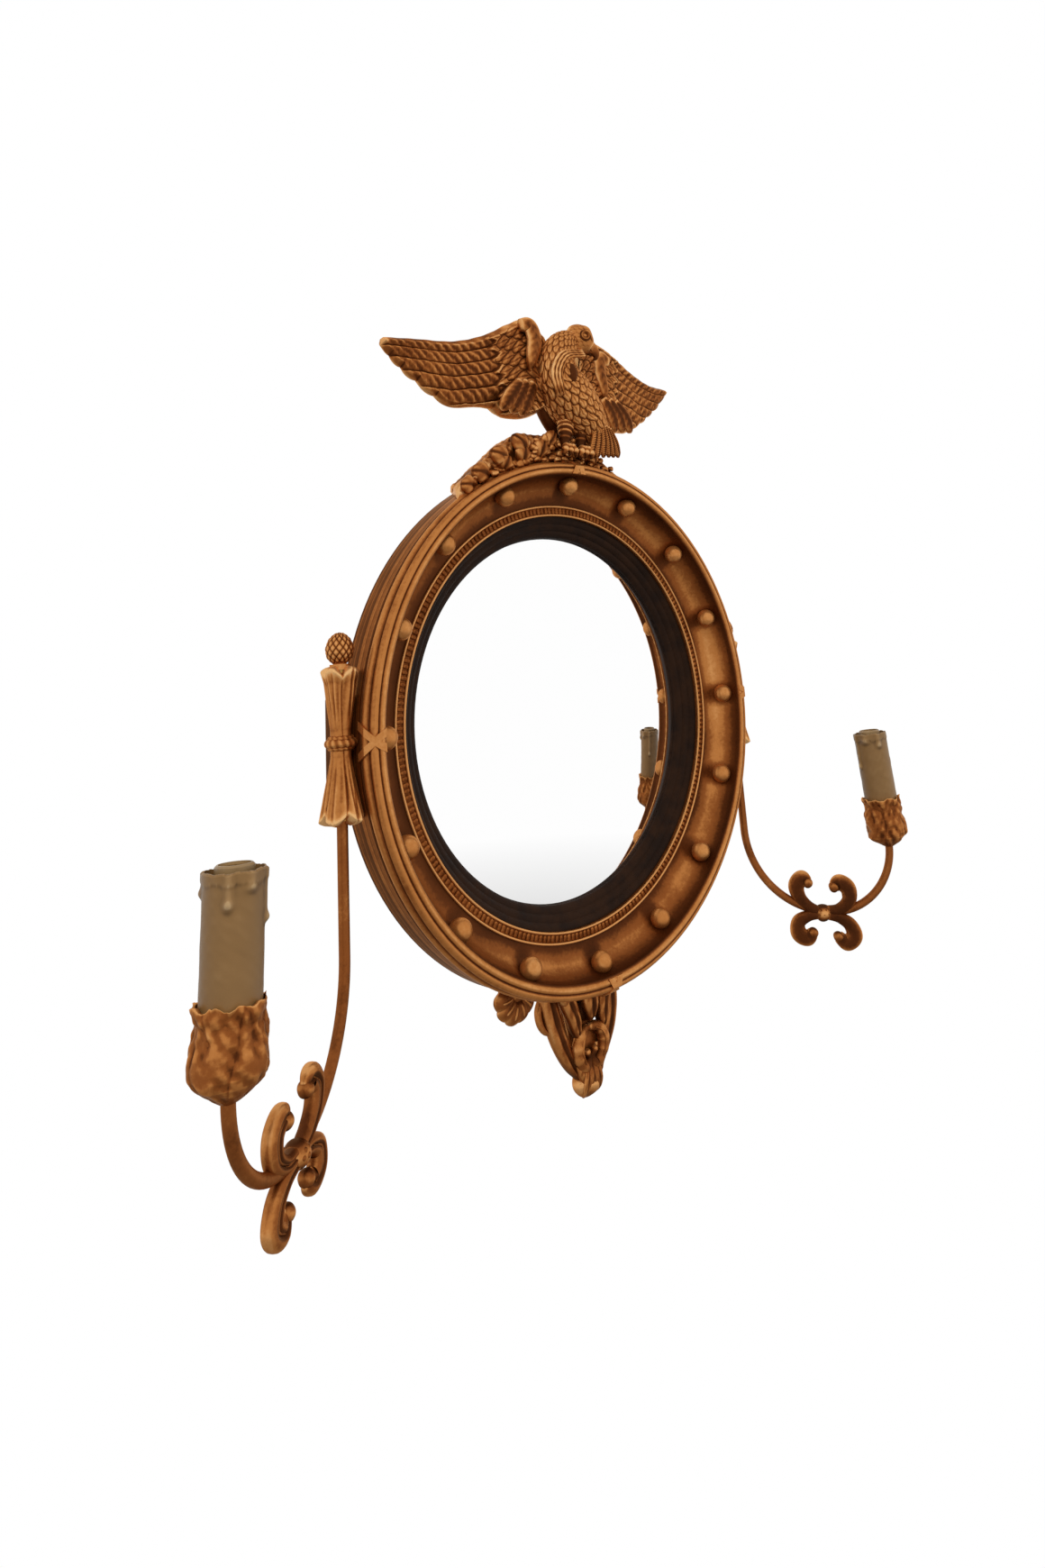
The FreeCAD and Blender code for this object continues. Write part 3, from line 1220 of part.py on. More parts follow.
def build_pendant(blank):
    """Acanthus leaf and its two shells."""
    pendant = acanthus_pendant(blank)
    save("acanthus_pendant", pendant)
    save("pendant_shell_left", pendant_shell(blank, pendant, -1))
    save("pendant_shell_right", pendant_shell(blank, pendant, 1))
    save("pendant_dowels", Part.makeCompound(pendant_dowels(0)))


os.makedirs("parts", exist_ok=True)
blank_ring = ring_blank()
build_frame(blank_ring)
build_brackets(blank_ring)
build_arms()
build_crest(blank_ring)
build_pendant(blank_ring)
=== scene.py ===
# %% [markdown]
# # A girandole mirror
#
# A convex mirror hangs on the wall in a round gilt frame, with an eagle on top and a candle arm on
# each side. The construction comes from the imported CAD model. This script builds what the eye
# sees: reeds, beads, feathers, leaves and wax, and the aged gilding over all of it.
#
# Lengths are in millimetres until a mesh is made. Depth is counted from the wall towards the
# viewer, so a point at depth d has y = -d.

import json

import bpy
import numpy as np
from mathutils import Matrix, Vector


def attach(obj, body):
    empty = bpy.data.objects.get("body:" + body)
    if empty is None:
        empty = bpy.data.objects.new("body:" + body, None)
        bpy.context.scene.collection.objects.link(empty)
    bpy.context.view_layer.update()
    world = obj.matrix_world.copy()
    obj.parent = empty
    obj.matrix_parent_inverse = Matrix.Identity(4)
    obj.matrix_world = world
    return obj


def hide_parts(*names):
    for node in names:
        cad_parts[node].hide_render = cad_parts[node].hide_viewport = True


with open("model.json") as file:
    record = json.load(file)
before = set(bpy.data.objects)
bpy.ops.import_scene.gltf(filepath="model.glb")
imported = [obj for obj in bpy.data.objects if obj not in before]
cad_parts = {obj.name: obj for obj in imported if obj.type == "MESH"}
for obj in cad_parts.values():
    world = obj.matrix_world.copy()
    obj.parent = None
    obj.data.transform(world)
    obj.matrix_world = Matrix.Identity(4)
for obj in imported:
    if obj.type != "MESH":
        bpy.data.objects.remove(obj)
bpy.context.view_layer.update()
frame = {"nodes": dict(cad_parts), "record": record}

# %% [markdown]
# ## The camera
#
# The camera stands in front and to the left, a little above the middle of the glass. Its place and
# lens come from a fit to the sixteen balls of the cavetto, the two arms and the reflection of
# one candle. The picture isn't centred on the lens axis, so the view is shifted.

# %% Camera
CAMERA_MM = np.array([-515.04, -565.01, 39.24])
YAW, PITCH, ROLL = np.radians([46.486, 11.905, -4.429])
FOCAL_PX, CENTRE_PX = 1008.06, (664.59, 518.34)
IMAGE_W, IMAGE_H = 1160, 1740


def camera_axes(yaw, pitch, roll):
    """Right, up and forward of a camera: forward = (sin y cos p, cos y cos p, sin p)."""
    forward = np.array([np.sin(yaw) * np.cos(pitch), np.cos(yaw) * np.cos(pitch), np.sin(pitch)])
    right = np.array([np.cos(yaw), -np.sin(yaw), 0.0])
    up = np.cross(right, forward)
    turned_right = np.cos(roll) * right + np.sin(roll) * up
    turned_up = -np.sin(roll) * right + np.cos(roll) * up
    return turned_right, turned_up, forward


camera_data = bpy.data.cameras.new("photo_camera")
camera = bpy.data.objects.new("photo_camera", camera_data)
bpy.context.scene.collection.objects.link(camera)
bpy.context.scene.camera = camera
right, up, forward = camera_axes(YAW, PITCH, ROLL)
camera.matrix_world = Matrix(np.column_stack([right, up, -forward]).tolist()).to_4x4()
camera.location = (CAMERA_MM / 1000.0).tolist()
camera_data.sensor_width = 36.0
camera_data.lens = FOCAL_PX / IMAGE_H * 36.0
camera_data.shift_x = (IMAGE_W / 2 - CENTRE_PX[0]) / IMAGE_H
camera_data.shift_y = (CENTRE_PX[1] - IMAGE_H / 2) / IMAGE_H
camera_data.clip_start = 0.01
print("lens", round(camera_data.lens, 3), "shift", round(camera_data.shift_x, 4), round(camera_data.shift_y, 4))

# %% [markdown]
# ## Light
#
# The object stands against plain white, and the glass reflects white too. The world is white to
# the camera and to reflections, except that reflections grow darker towards the floor, which gives
# the gilding its dark undersides. To everything else it is a softer, slightly warm grey. Two broad
# lamps give the forms a light side. A picture of a room as the world would be another way, but it
# would put windows into the glass that the real one doesn't show.

# %% World
SOFT_LEVEL = 0.30               # the world's light on everything that isn't a reflection
FLOOR_Z, LEVEL_Z = -0.62, -0.30  # reflections fade between these heights of their direction
FLOOR_SHARE = 0.25              # and keep this share of the white towards the floor
world = bpy.data.worlds.new("white_room")
bpy.context.scene.world = world
world.use_nodes = True
nodes, links = world.node_tree.nodes, world.node_tree.links
nodes.clear()
seen, soft = nodes.new("ShaderNodeBackground"), nodes.new("ShaderNodeBackground")
seen.inputs["Color"].default_value = (1.0, 1.0, 1.0, 1.0)
seen.inputs["Strength"].default_value = 1.0
soft.inputs["Color"].default_value = (1.0, 0.985, 0.96, 1.0)
soft.inputs["Strength"].default_value = SOFT_LEVEL
path = nodes.new("ShaderNodeLightPath")
either = nodes.new("ShaderNodeMath")
either.operation = "MAXIMUM"
mix, out = nodes.new("ShaderNodeMixShader"), nodes.new("ShaderNodeOutputWorld")
way = nodes.new("ShaderNodeTexCoord")
parts = nodes.new("ShaderNodeSeparateXYZ")
links.new(way.outputs["Generated"], parts.inputs[0])
bright = nodes.new("ShaderNodeMapRange")
fade = (FLOOR_Z, LEVEL_Z, FLOOR_SHARE, 1.0)
for socket, value in zip(("From Min", "From Max", "To Min", "To Max"), fade):
    bright.inputs[socket].default_value = value
links.new(parts.outputs["Z"], bright.inputs["Value"])
above = nodes.new("ShaderNodeMath")
above.operation = "MULTIPLY"
links.new(bright.outputs[0], above.inputs[0])
links.new(path.outputs["Is Glossy Ray"], above.inputs[1])
links.new(path.outputs["Is Camera Ray"], either.inputs[0])
links.new(above.outputs[0], either.inputs[1])
links.new(either.outputs[0], mix.inputs["Fac"])
links.new(soft.outputs[0], mix.inputs[1])
links.new(seen.outputs[0], mix.inputs[2])
links.new(mix.outputs[0], out.inputs["Surface"])
bpy.context.scene.view_settings.view_transform = "Standard"
print("soft light", SOFT_LEVEL, "reflections towards the floor", FLOOR_SHARE)


# %% Lamps
def area_lamp(name, place, target, size, power, colour):
    """Square lamp at a place in metres, turned towards a target. It isn't seen itself."""
    data = bpy.data.lights.new(name, "AREA")
    data.shape, data.size, data.energy, data.color = "SQUARE", size, power, colour
    lamp = bpy.data.objects.new(name, data)
    bpy.context.scene.collection.objects.link(lamp)
    lamp.location = place
    aim = Vector(target) - Vector(place)
    lamp.rotation_euler = aim.to_track_quat("-Z", "Y").to_euler()
    lamp.visible_camera = False
    lamp.visible_glossy = False
    print(name, power, "W from", place)


area_lamp("key_lamp", (-1.3, -1.5, 1.5), (0, 0, 0), 1.0, 34.0, (1.0, 0.96, 0.9))
area_lamp("fill_lamp", (1.5, -1.6, 0.3), (0, 0, 0), 1.4, 9.0, (1.0, 0.97, 0.93))

# %% [markdown]
# ## Mesh helpers
#
# Every form is a closed surface through rings of points. A wing is such a surface whose rings are
# flat slices, a leaf is one whose rings shrink to a tip, and a ring of wood is one that also closes
# end to end. Feathers, barbs and veins are added to the points as heights before the mesh is made.
# Sculpting by hand would give the same kind of form, but a formula can be changed and run again.

# %% Closed surfaces
MM = 0.001
PI = np.pi


def signed_volume(verts, quads, tris):
    """Volume enclosed by the faces, negative when they face inwards: sum of a.(b x c)/6."""
    halves = np.concatenate([tris, quads[:, :3], quads[:, [0, 2, 3]]])
    a, b, c = verts[halves[:, 0]], verts[halves[:, 1]], verts[halves[:, 2]]
    return (a * np.cross(b, c)).sum() / 6.0


def solid(rings, end_to_end=False):
    """Closed surface through rings of shape (n, m, 3): quads between neighbours, fans at the ends."""
    rings = np.asarray(rings, float)
    n, m = rings.shape[:2]
    verts = rings.reshape(-1, 3)
    i = np.arange(n if end_to_end else n - 1)[:, None]
    j = np.arange(m)[None, :]
    after, nxt = (i + 1) % n, (j + 1) % m
    corners = np.broadcast_arrays(i * m + j, i * m + nxt, after * m + nxt, after * m + j)
    quads = np.stack(corners, -1).reshape(-1, 4)
    tris = np.zeros((0, 3), int)
    if not end_to_end:
        verts = np.concatenate([verts, rings[0].mean(0)[None], rings[-1].mean(0)[None]])
        j, nxt = np.arange(m), (np.arange(m) + 1) % m
        first = np.stack([np.full(m, n * m), nxt, j], -1)
        last = np.stack([np.full(m, n * m + 1), (n - 1) * m + j, (n - 1) * m + nxt], -1)
        tris = np.concatenate([first, last])
    if signed_volume(verts, quads, tris) < 0:
        quads, tris = quads[:, ::-1], tris[:, ::-1]
    return verts, quads, tris


def joined(shapes):
    """Several closed surfaces as one set of points and faces."""
    verts, quads, tris, count = [], [], [], 0
    for v, q, t in shapes:
        verts.append(v)
        quads.append(q + count)
        tris.append(t + count)
        count += len(v)
    return np.concatenate(verts), np.concatenate(quads), np.concatenate(tris)


# %% [markdown]
# ## Relief: dirt and painted shade in the grooves, rubbed gold and painted highlight on the ridges
#
# Old gilding is dark in its grooves and bright on its ridges. Here the dark is settled dirt together
# with painted shade, and the bright is rubbed gold together with a painted highlight. To paint it so,
# the materials need to know at each point whether it lies in a groove or on a ridge. A smoothed copy
# of the surface tells that: grooves lie below it and ridges stand above it. The value is kept in the
# mesh as an attribute, so it also goes along when the model is exported.

# %% Relief of a mesh
# The coarse step finds broad hollows and bulges, so it paints broad shade into the hollows and light onto the
# bulges.
BROAD_SHADE_ROUNDS = 5       # the coarse step comes after this many times the rounds of the fine one
BROAD_SHADE_REACH = 2.6      # and has to be this much longer for the same relief
MIDDLE_RELIEF = 0.46    # value of a point that stands out as much as most of its shape


def relief_of(mesh, sizes, rounds, reach):
    """How far each point stands out of the smoothed surface: 0 deep in a groove, 1 on a ridge.

    The surface is smoothed by moving each point halfway to its neighbours' mean. The step from
    there back to the point, along the normal, is taken after a few rounds and again after many,
    and each closed shape is set against its own middle step.
    """
    count = len(mesh.vertices)
    verts, normals = np.zeros(count * 3), np.zeros(count * 3, np.float32)
    edges = np.zeros(len(mesh.edges) * 2, int)
    mesh.vertices.foreach_get("co", verts)
    mesh.vertex_normals.foreach_get("vector", normals)
    mesh.edges.foreach_get("vertices", edges)
    verts, normals, edges = verts.reshape(-1, 3), normals.reshape(-1, 3), edges.reshape(-1, 2)
    a, b = edges[:, 0], edges[:, 1]
    degree = np.bincount(edges.ravel(), minlength=count).astype(float)
    smooth, out = verts.copy(), np.zeros(count)
    for k in range(rounds * BROAD_SHADE_ROUNDS):
        total = np.empty_like(smooth)
        for axis in range(3):
            column = smooth[:, axis]
            total[:, axis] = np.bincount(a, column[b], count) + np.bincount(b, column[a], count)
        smooth = 0.5 * smooth + 0.5 * total / degree[:, None]
        # The step after many rounds is the broad one: painted broad shade in wide hollows, painted light on
        # wide bulges.
        if k + 1 in (rounds, rounds * BROAD_SHADE_ROUNDS):
            far = 1.0 if k + 1 == rounds else BROAD_SHADE_REACH
            out += ((verts - smooth) * normals).sum(1) / MM / (reach * far)
    middle = [np.median(part) for part in np.split(out, np.cumsum(sizes)[:-1])]
    return np.clip(MIDDLE_RELIEF + 0.5 * (out - np.repeat(middle, sizes)), 0.0, 0.9)


# %% A piece that rides on a body
def piece(name, shapes, body, material, replaces=(), relief=(14, 0.5)):
    """One mesh object of closed shapes in millimetres. It rides on a body and has a relief value."""
    verts, quads, tris = joined(shapes)
    mesh = bpy.data.meshes.new(name)
    mesh.from_pydata((verts * MM).tolist(), [], quads.tolist() + tris.tolist())
    mesh.update()
    mesh.polygons.foreach_set("use_smooth", np.ones(len(mesh.polygons), bool))
    values = relief_of(mesh, [len(shape[0]) for shape in shapes], *relief)
    mesh.attributes.new("relief", "FLOAT", "POINT").data.foreach_set("value", values.astype(np.float32))
    obj = bpy.data.objects.new(name, mesh)
    bpy.context.scene.collection.objects.link(obj)
    mesh.materials.append(material)
    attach(obj, body)
    if replaces:
        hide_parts(*replaces)
    print(f"{name}: {2 * len(quads) + len(tris)} triangles")


# %% [markdown]
# ## Paths and the forms along them
#
# A carver thinks in lines: the vein of a leaf, the quill of a feather, the curl of a scroll. Here a
# few points give such a line, a smooth curve runs through them, and a round or flat section is
# carried along it. Curve objects with a bevel could do the round ones, but not the grooved middle
# of a leaf, so both are worked out as points.

# %% Points and paths
def pt(x, depth, z):
    """Points from x, depth from the wall, and height."""
    return np.stack(np.broadcast_arrays(np.asarray(x, float), -np.asarray(depth, float), z), -1)


def polar(degrees, radius, depth):
    """Points about the mirror's axis: degrees clockwise from the top, radius, depth."""
    turn = np.radians(degrees)
    return pt(radius * np.sin(turn), depth, radius * np.cos(turn))


def smooth_path(points, count):
    """Smooth curve through points, (k, any): cubic Hermite with the neighbours' chords as slopes."""
    points = np.asarray(points, float)
    chord = np.r_[0, np.cumsum(np.sqrt((np.diff(points, axis=0) ** 2).sum(1)) + 1e-9)]
    slopes = np.gradient(points, chord, axis=0)
    where = np.linspace(0, chord[-1], count)
    k = np.clip(np.searchsorted(chord, where) - 1, 0, len(points) - 2)
    step = chord[k + 1] - chord[k]
    t = ((where - chord[k]) / step)[:, None]
    h = step[:, None]
    return (points[k] * (2 * t**3 - 3 * t**2 + 1) + points[k + 1] * (3 * t**2 - 2 * t**3)
            + slopes[k] * h * (t**3 - 2 * t**2 + t) + slopes[k + 1] * h * (t**3 - t**2))


def unit(v):
    """Vectors at length one."""
    return v / np.maximum(np.sqrt((v**2).sum(-1, keepdims=True)), 1e-12)


def across(path, facing):
    """Tangent, side and face vectors along a path, the face as near the facing vector as it can be."""
    tangent = unit(np.gradient(path, axis=0))
    side = unit(np.cross(tangent, np.broadcast_to(facing, path.shape)))
    return tangent, side, np.cross(side, tangent)


# %% Rods
ROUND_END = 0.6         # an end ring has this share of the size, this many radii further out


def end_ring(ring, way, radius):
    """Smaller copy of a ring, moved outwards: middle + share x (ring - middle) + share x radius."""
    middle = ring.mean(0)
    return middle + (ring - middle) * ROUND_END + way * radius * ROUND_END


def rod(points, radii, facing=(0, -1, 0), count=40, around=20, flat=1.0, swell=None):
    """Rod along a smooth path with a radius at each given point, closed by rounded ends.

    A ring is the path's point + radius x (cos t x side + flat x sin t x face).
    """
    data = smooth_path(np.c_[np.asarray(points, float), np.asarray(radii, float)], count)
    path, radius = data[:, :3], np.maximum(data[:, 3], 0.05)
    _, side, face = across(path, facing)
    turn = np.arange(around) * 2 * PI / around
    if swell is not None:
        radius = radius * swell(np.linspace(0, 1, count))
    c, s = np.cos(turn)[None, :, None], np.sin(turn)[None, :, None]
    rings = path[:, None] + radius[:, None, None] * (c * side[:, None] + flat * s * face[:, None])
    first = end_ring(rings[0], -unit(path[1] - path[0]), radius[0])
    last = end_ring(rings[-1], unit(path[-1] - path[-2]), radius[-1])
    return solid(np.concatenate([first[None], rings, last[None]]))


# %% Leaves and feathers
def blade(points, widths, thick, facing=(0, -1, 0), count=44, around=28, vein=0.35, barbs=0.0,
          barb_count=14, cup=0.0, pointed=True, back=0.5):
    """Leaf or feather along a smooth path. Each ring is a flat oval with a grooved middle.

    The half width follows the given widths and closes at the far end as a square root. The height
    is thickness x |sin t|^0.7, less a narrow bell at the vein, plus the barbs: ridges that run out
    and forward from the vein, as a sine of the length less the distance across.
    """
    data = smooth_path(np.c_[np.asarray(points, float), np.asarray(widths, float)], count)
    path, width = data[:, :3], np.maximum(data[:, 3], 0.1)
    along = np.linspace(0, 1, count)
    if pointed:
        width = width * np.sqrt(np.clip(1.02 - along**6, 0, 1))
    _, side, face = across(path, facing)
    turn = np.arange(around) * 2 * PI / around
    c, s = np.cos(turn)[None], np.sin(turn)[None]
    a = along[:, None]
    lift = np.where(s > 0, np.abs(s) ** 0.7, -back * np.abs(s) ** 0.7)
    taper = np.clip(np.minimum(1, (1.03 - a) * 6), 0.1, 1) ** 0.5
    groove = vein * np.exp(-((c / 0.16) ** 2)) * (s > 0)
    ridges = barbs * np.sin(2 * PI * (a * barb_count - 0.9 * np.abs(c))) * (s > 0) * np.abs(s)
    height = thick * taper * lift * (1 - groove) + cup * c**2 + ridges * taper
    rings = path[:, None] + (width[:, None] * c)[..., None] * side[:, None]
    return solid(rings + height[..., None] * face[:, None])


# %% Balls and hoops
def ball(centre, radii, around=28, count=18, bumps=0.0, seed=0):
    """Ellipsoid about a centre (x, y, z): radii x unit ball x (1 + a few sines across it)."""
    lat = np.linspace(0, PI, count + 2)[1:-1][:, None]
    lon = np.arange(around)[None] * 2 * PI / around
    flat_x, flat_y = np.sin(lat) * np.cos(lon), np.sin(lat) * np.sin(lon)
    unit_ball = np.stack(np.broadcast_arrays(flat_x, flat_y, np.cos(lat)), -1)
    random = np.random.default_rng(seed)
    swell = 1.0
    for _ in range(4):
        way, phase = unit(random.normal(size=3)), random.uniform(0, 2 * PI)
        swell = swell + bumps * np.sin(4.0 * (unit_ball @ way) + phase)[..., None]
    return solid(np.asarray(centre) + unit_ball * np.asarray(radii) * swell)


def hoop(centre, radius, thickness, axis=(0, 1, 0), around=64, section=12, flat=1.0):
    """Ring of wire about an axis: centre + out x (radius + wire x cos s) + axis x wire x sin s."""
    axis = unit(np.asarray(axis, float))
    first = unit(np.cross(axis, (0.3, 0.2, 0.9)))
    second = np.cross(axis, first)
    t = np.arange(around)[:, None] * 2 * PI / around
    s = np.arange(section)[None] * 2 * PI / section
    out = np.cos(t)[..., None] * first + np.sin(t)[..., None] * second
    rings = np.asarray(centre) + out * (radius + thickness * np.cos(s))[..., None]
    rings = rings + axis * (flat * thickness * np.sin(s))[..., None]
    return solid(rings, end_to_end=True)


# %% Scales and noise
def scales(p, q, tip=0.75):
    """Height of overlapping scales, 0 to 1. Rows lie along p half a scale apart, and each scale
    points towards rising q, rises to its round tip and covers the start of the next row."""
    height = np.zeros(np.broadcast(p, q).shape)
    for back in (0, 1):
        row = np.floor(q) - back
        along = q - row
        over = (p + 0.5 * (row % 2)) % 1.0 - 0.5
        end = 1.0 + tip * np.sqrt(np.clip(1 - (2.05 * over) ** 2, 0, 1))
        dome = np.sqrt(np.clip(1 - (1.9 * over) ** 2, 0.02, 1)) * np.sqrt(np.clip((end - along) / 0.45, 0, 1))
        h = 0.15 + 0.30 * along / (1 + tip) + 0.55 * dome - 0.10 * np.exp(-((over / 0.08) ** 2))
        height = np.where(along < end, h, height)
    return height


def noise1(t, seed, octaves=4, base=3.0):
    """Smooth random curve: sines of rising frequency and falling height, about -1 to 1."""
    random = np.random.default_rng(seed)
    total = np.zeros_like(t, dtype=float)
    for k in range(octaves):
        total += np.sin(t * base * 1.9**k + random.uniform(0, 2 * PI)) * random.uniform(0.6, 1.0) / 1.6**k
    return total / 2.0


def noise3(points, seed, size, octaves=4):
    """Smooth random field at points: sines along random directions, about -1 to 1."""
    random = np.random.default_rng(seed)
    total = np.zeros(points.shape[:-1])
    for k in range(octaves):
        for _ in range(3):
            way = unit(random.normal(size=3)) * 2 * PI / size * 1.8**k
            total += np.sin(points @ way + random.uniform(0, 2 * PI)) / 1.7**k
    return total / 4.0


# %% [markdown]
# ## Gilding and the other finishes
#
# The gilding is one node group. It mixes a dark brown in the grooves, which is settled dirt together
# with painted shade, the middle colour where the gold is rubbed thin, and the rubbed gold of the ridges
# together with a painted highlight. What decides between them is a relief value from 0 to 1, plus
# cloudy noise. Carved pieces carry the value as an attribute, and the turned ring works it out from its
# radius and depth. Painted picture textures would need every piece unwrapped, and they would blur
# close up, so the finishes are worked out from the place on the object instead.

# %% Node helpers
def srgb(r, g, b):
    """Linear colour of an 8-bit screen colour."""
    c = np.array([r, g, b]) / 255.0
    linear = np.where(c <= 0.04045, c / 12.92, ((c + 0.055) / 1.055) ** 2.4)
    return (*linear.tolist(), 1.0)


class Tree:
    """Adds nodes to a node tree and links them, with one call for each."""

    def __init__(self, tree):
        self.tree = tree

    def node(self, kind, inputs=None, **settings):
        """New node with its settings. An input may be a value or another node's socket."""
        made = self.tree.nodes.new(kind)
        for key, value in settings.items():
            setattr(made, key, value)
        for key, value in (inputs or {}).items():
            socket = made.inputs[key]
            if isinstance(value, bpy.types.NodeSocket):
                self.tree.links.new(value, socket)
            else:
                socket.default_value = value
        return made

    def math(self, operation, a, b=0.0, clamp=False):
        """Result of one sum."""
        made = self.node("ShaderNodeMath", {0: a, 1: b}, operation=operation, use_clamp=clamp)
        return made.outputs[0]

    def noise(self, coords, scale, detail=4.0, rough=0.55):
        """Cloudy value from 0 to 1."""
        inputs = {"Vector": coords, "Scale": scale, "Detail": detail, "Roughness": rough}
        return self.node("ShaderNodeTexNoise", inputs).outputs[0]

    def ramp(self, value, stops, smooth=True):
        """Colour for a value, between stops of (place, colour)."""
        made = self.node("ShaderNodeValToRGB", {0: value})
        made.color_ramp.interpolation = "EASE" if smooth else "LINEAR"
        elements = made.color_ramp.elements
        while len(elements) < len(stops):
            elements.new(0.5)
        for element, (place, colour) in zip(elements, stops):
            element.position = place
            element.color = colour
        return made.outputs[0]


# %% Aged gilding, with painted shade in the grooves and a painted highlight on the ridges
GOLD_DIRT_SHADE_AND_HIGHLIGHT_STOPS = [(0.0, srgb(30, 12, 5)), (0.2, srgb(66, 31, 12)), (0.42, srgb(138, 79, 36)),
              (0.6, srgb(192, 126, 66)), (0.8, srgb(224, 162, 98)), (1.0, srgb(240, 190, 128))]
RED_CLAY = srgb(150, 78, 30)    # the clay under the leaf, where it shows through in patches


def gilding_group():
    """Relief to aged gold, with painted shade in the grooves and a painted highlight on the ridges: colour,
    roughness and fine height.
    """
    group = bpy.data.node_groups.new("aged_gilding_with_painted_shade", "ShaderNodeTree")
    number, vector, tone = "NodeSocketFloat", "NodeSocketVector", "NodeSocketColor"
    for name, kind in (("Relief", number), ("Coords", vector), ("Wear", number)):
        group.interface.new_socket(name, in_out="INPUT", socket_type=kind)
    for name, kind in (("Color", tone), ("Roughness", number), ("Height", number)):
        group.interface.new_socket(name, in_out="OUTPUT", socket_type=kind)
    t = Tree(group)
    given, result = t.node("NodeGroupInput"), t.node("NodeGroupOutput")
    coords = given.outputs["Coords"]
    cloud = t.noise(coords, 38.0, 5.0, 0.6)
    speck = t.noise(coords, 420.0, 3.0, 0.65)
    drift = t.math("MULTIPLY", t.math("SUBTRACT", cloud, 0.5), given.outputs["Wear"])
    grain = t.math("MULTIPLY", t.math("SUBTRACT", speck, 0.5), 0.22)
    wear_and_shade = t.math("ADD", t.math("ADD", given.outputs["Relief"], drift), grain, clamp=True)
    # Low values give dark brown, settled dirt together with painted shade; high values give bright gold, rubbed
    # gold together with a painted highlight.
    colour = t.ramp(wear_and_shade, GOLD_DIRT_SHADE_AND_HIGHLIGHT_STOPS)
    patch = t.noise(coords, 14.0, 3.0, 0.5)
    tint = t.node("ShaderNodeMix", {0: t.math("MULTIPLY", patch, 0.35), 6: colour, 7: RED_CLAY},
                  data_type="RGBA", blend_type="MIX")
    rough = t.math("ADD", 0.52, t.math("MULTIPLY", wear_and_shade, -0.24))
    height = t.math("ADD", t.math("MULTIPLY", speck, 0.5), cloud)
    for name, value in (("Color", tint.outputs[2]), ("Roughness", rough), ("Height", height)):
        group.links.new(value, result.inputs[name])
    return group


GILDING = gilding_group()
print("gilding group:", len(GILDING.nodes), "nodes")


# %% Material helpers
def new_material(name):
    """Empty material with a principled shader, and its tree."""
    material = bpy.data.materials.new(name)
    material.use_nodes = True
    material.node_tree.nodes.clear()
    t = Tree(material.node_tree)
    shader = t.node("ShaderNodeBsdfPrincipled")
    t.node("ShaderNodeOutputMaterial", {"Surface": shader.outputs[0]})
    return material, t, shader


def object_coords(t):
    """Place on the object in metres."""
    return t.node("ShaderNodeTexCoord").outputs["Object"]


def set_bump(t, shader, height, distance):
    """Fine relief from a height value, so deep in metres where the height is 1."""
    bump = t.node("ShaderNodeBump", {"Height": height, "Distance": distance, "Strength": 1.0})
    t.tree.links.new(bump.outputs[0], shader.inputs["Normal"])


def gilt_material(name, relief, wear=0.5, metallic=0.72, bump=0.00022):
    """Gilt surface; relief is called with the tree and gives the relief socket."""
    material, t, shader = new_material(name)
    coords = object_coords(t)
    group = t.node("ShaderNodeGroup", node_tree=GILDING)
    t.tree.links.new(relief(t, coords), group.inputs["Relief"])
    t.tree.links.new(coords, group.inputs["Coords"])
    group.inputs["Wear"].default_value = wear
    t.tree.links.new(group.outputs["Color"], shader.inputs["Base Color"])
    t.tree.links.new(group.outputs["Roughness"], shader.inputs["Roughness"])
    shader.inputs["Metallic"].default_value = metallic
    shader.inputs["Specular Tint"].default_value = (0.95, 0.66, 0.42, 1.0)
    shader.inputs["Specular IOR Level"].default_value = 0.3
    set_bump(t, shader, group.outputs["Height"], bump)
    return material


def relief_attribute(t, coords):
    """The value that relief_of left in the mesh."""
    return t.node("ShaderNodeAttribute", attribute_name="relief").outputs["Fac"]


def relief_shifted(shift):
    """The relief attribute, a little up or down."""
    return lambda t, coords: t.math("ADD", relief_attribute(t, coords), shift)


def relief_level(level):
    """The same relief everywhere."""
    return lambda t, coords: t.math("ADD", level, 0.0)


# %% [markdown]
# ## The turned ring
#
# The ring was turned on a lathe, so its dirt and its painted shade lie in circles: a dark line in each
# groove, darker edges to the hollow and a side darker towards the wall, and a bright band on each reed
# that is rubbed gold with a painted highlight. The CAD solid already has these steps, with few faces. A
# relief value from the mesh would be coarse there, so this material works the value out from the
# distance to the ring's axis on the front and from the depth on the side. Painted shadows round the
# balls, a painted light that makes the right side of the hollow lighter than the left, and a slow
# cloudy drift round the ring keep it from looking machine-made.

# %% Relief of the turned ring
FRONT_FROM, FRONT_WIDE = 0.156, 0.044   # radius at which the front levels start, and their span
SIDE_DEEP = 0.06                        # the side levels run from the wall to this depth
SIDE_FROM = 0.1958                      # radius at which the side begins
BALLS, BALL_PLACE = 16, 0.179           # number of balls and the radius that they stand on
HOLLOW_LOW, HOLLOW_HIGH = 0.1655, 0.1868  # the hollow lies between these radii
BALL_SHADOW, BALL_LIGHT = 0.0055, 0.0125  # the shadow round a ball fades between these distances
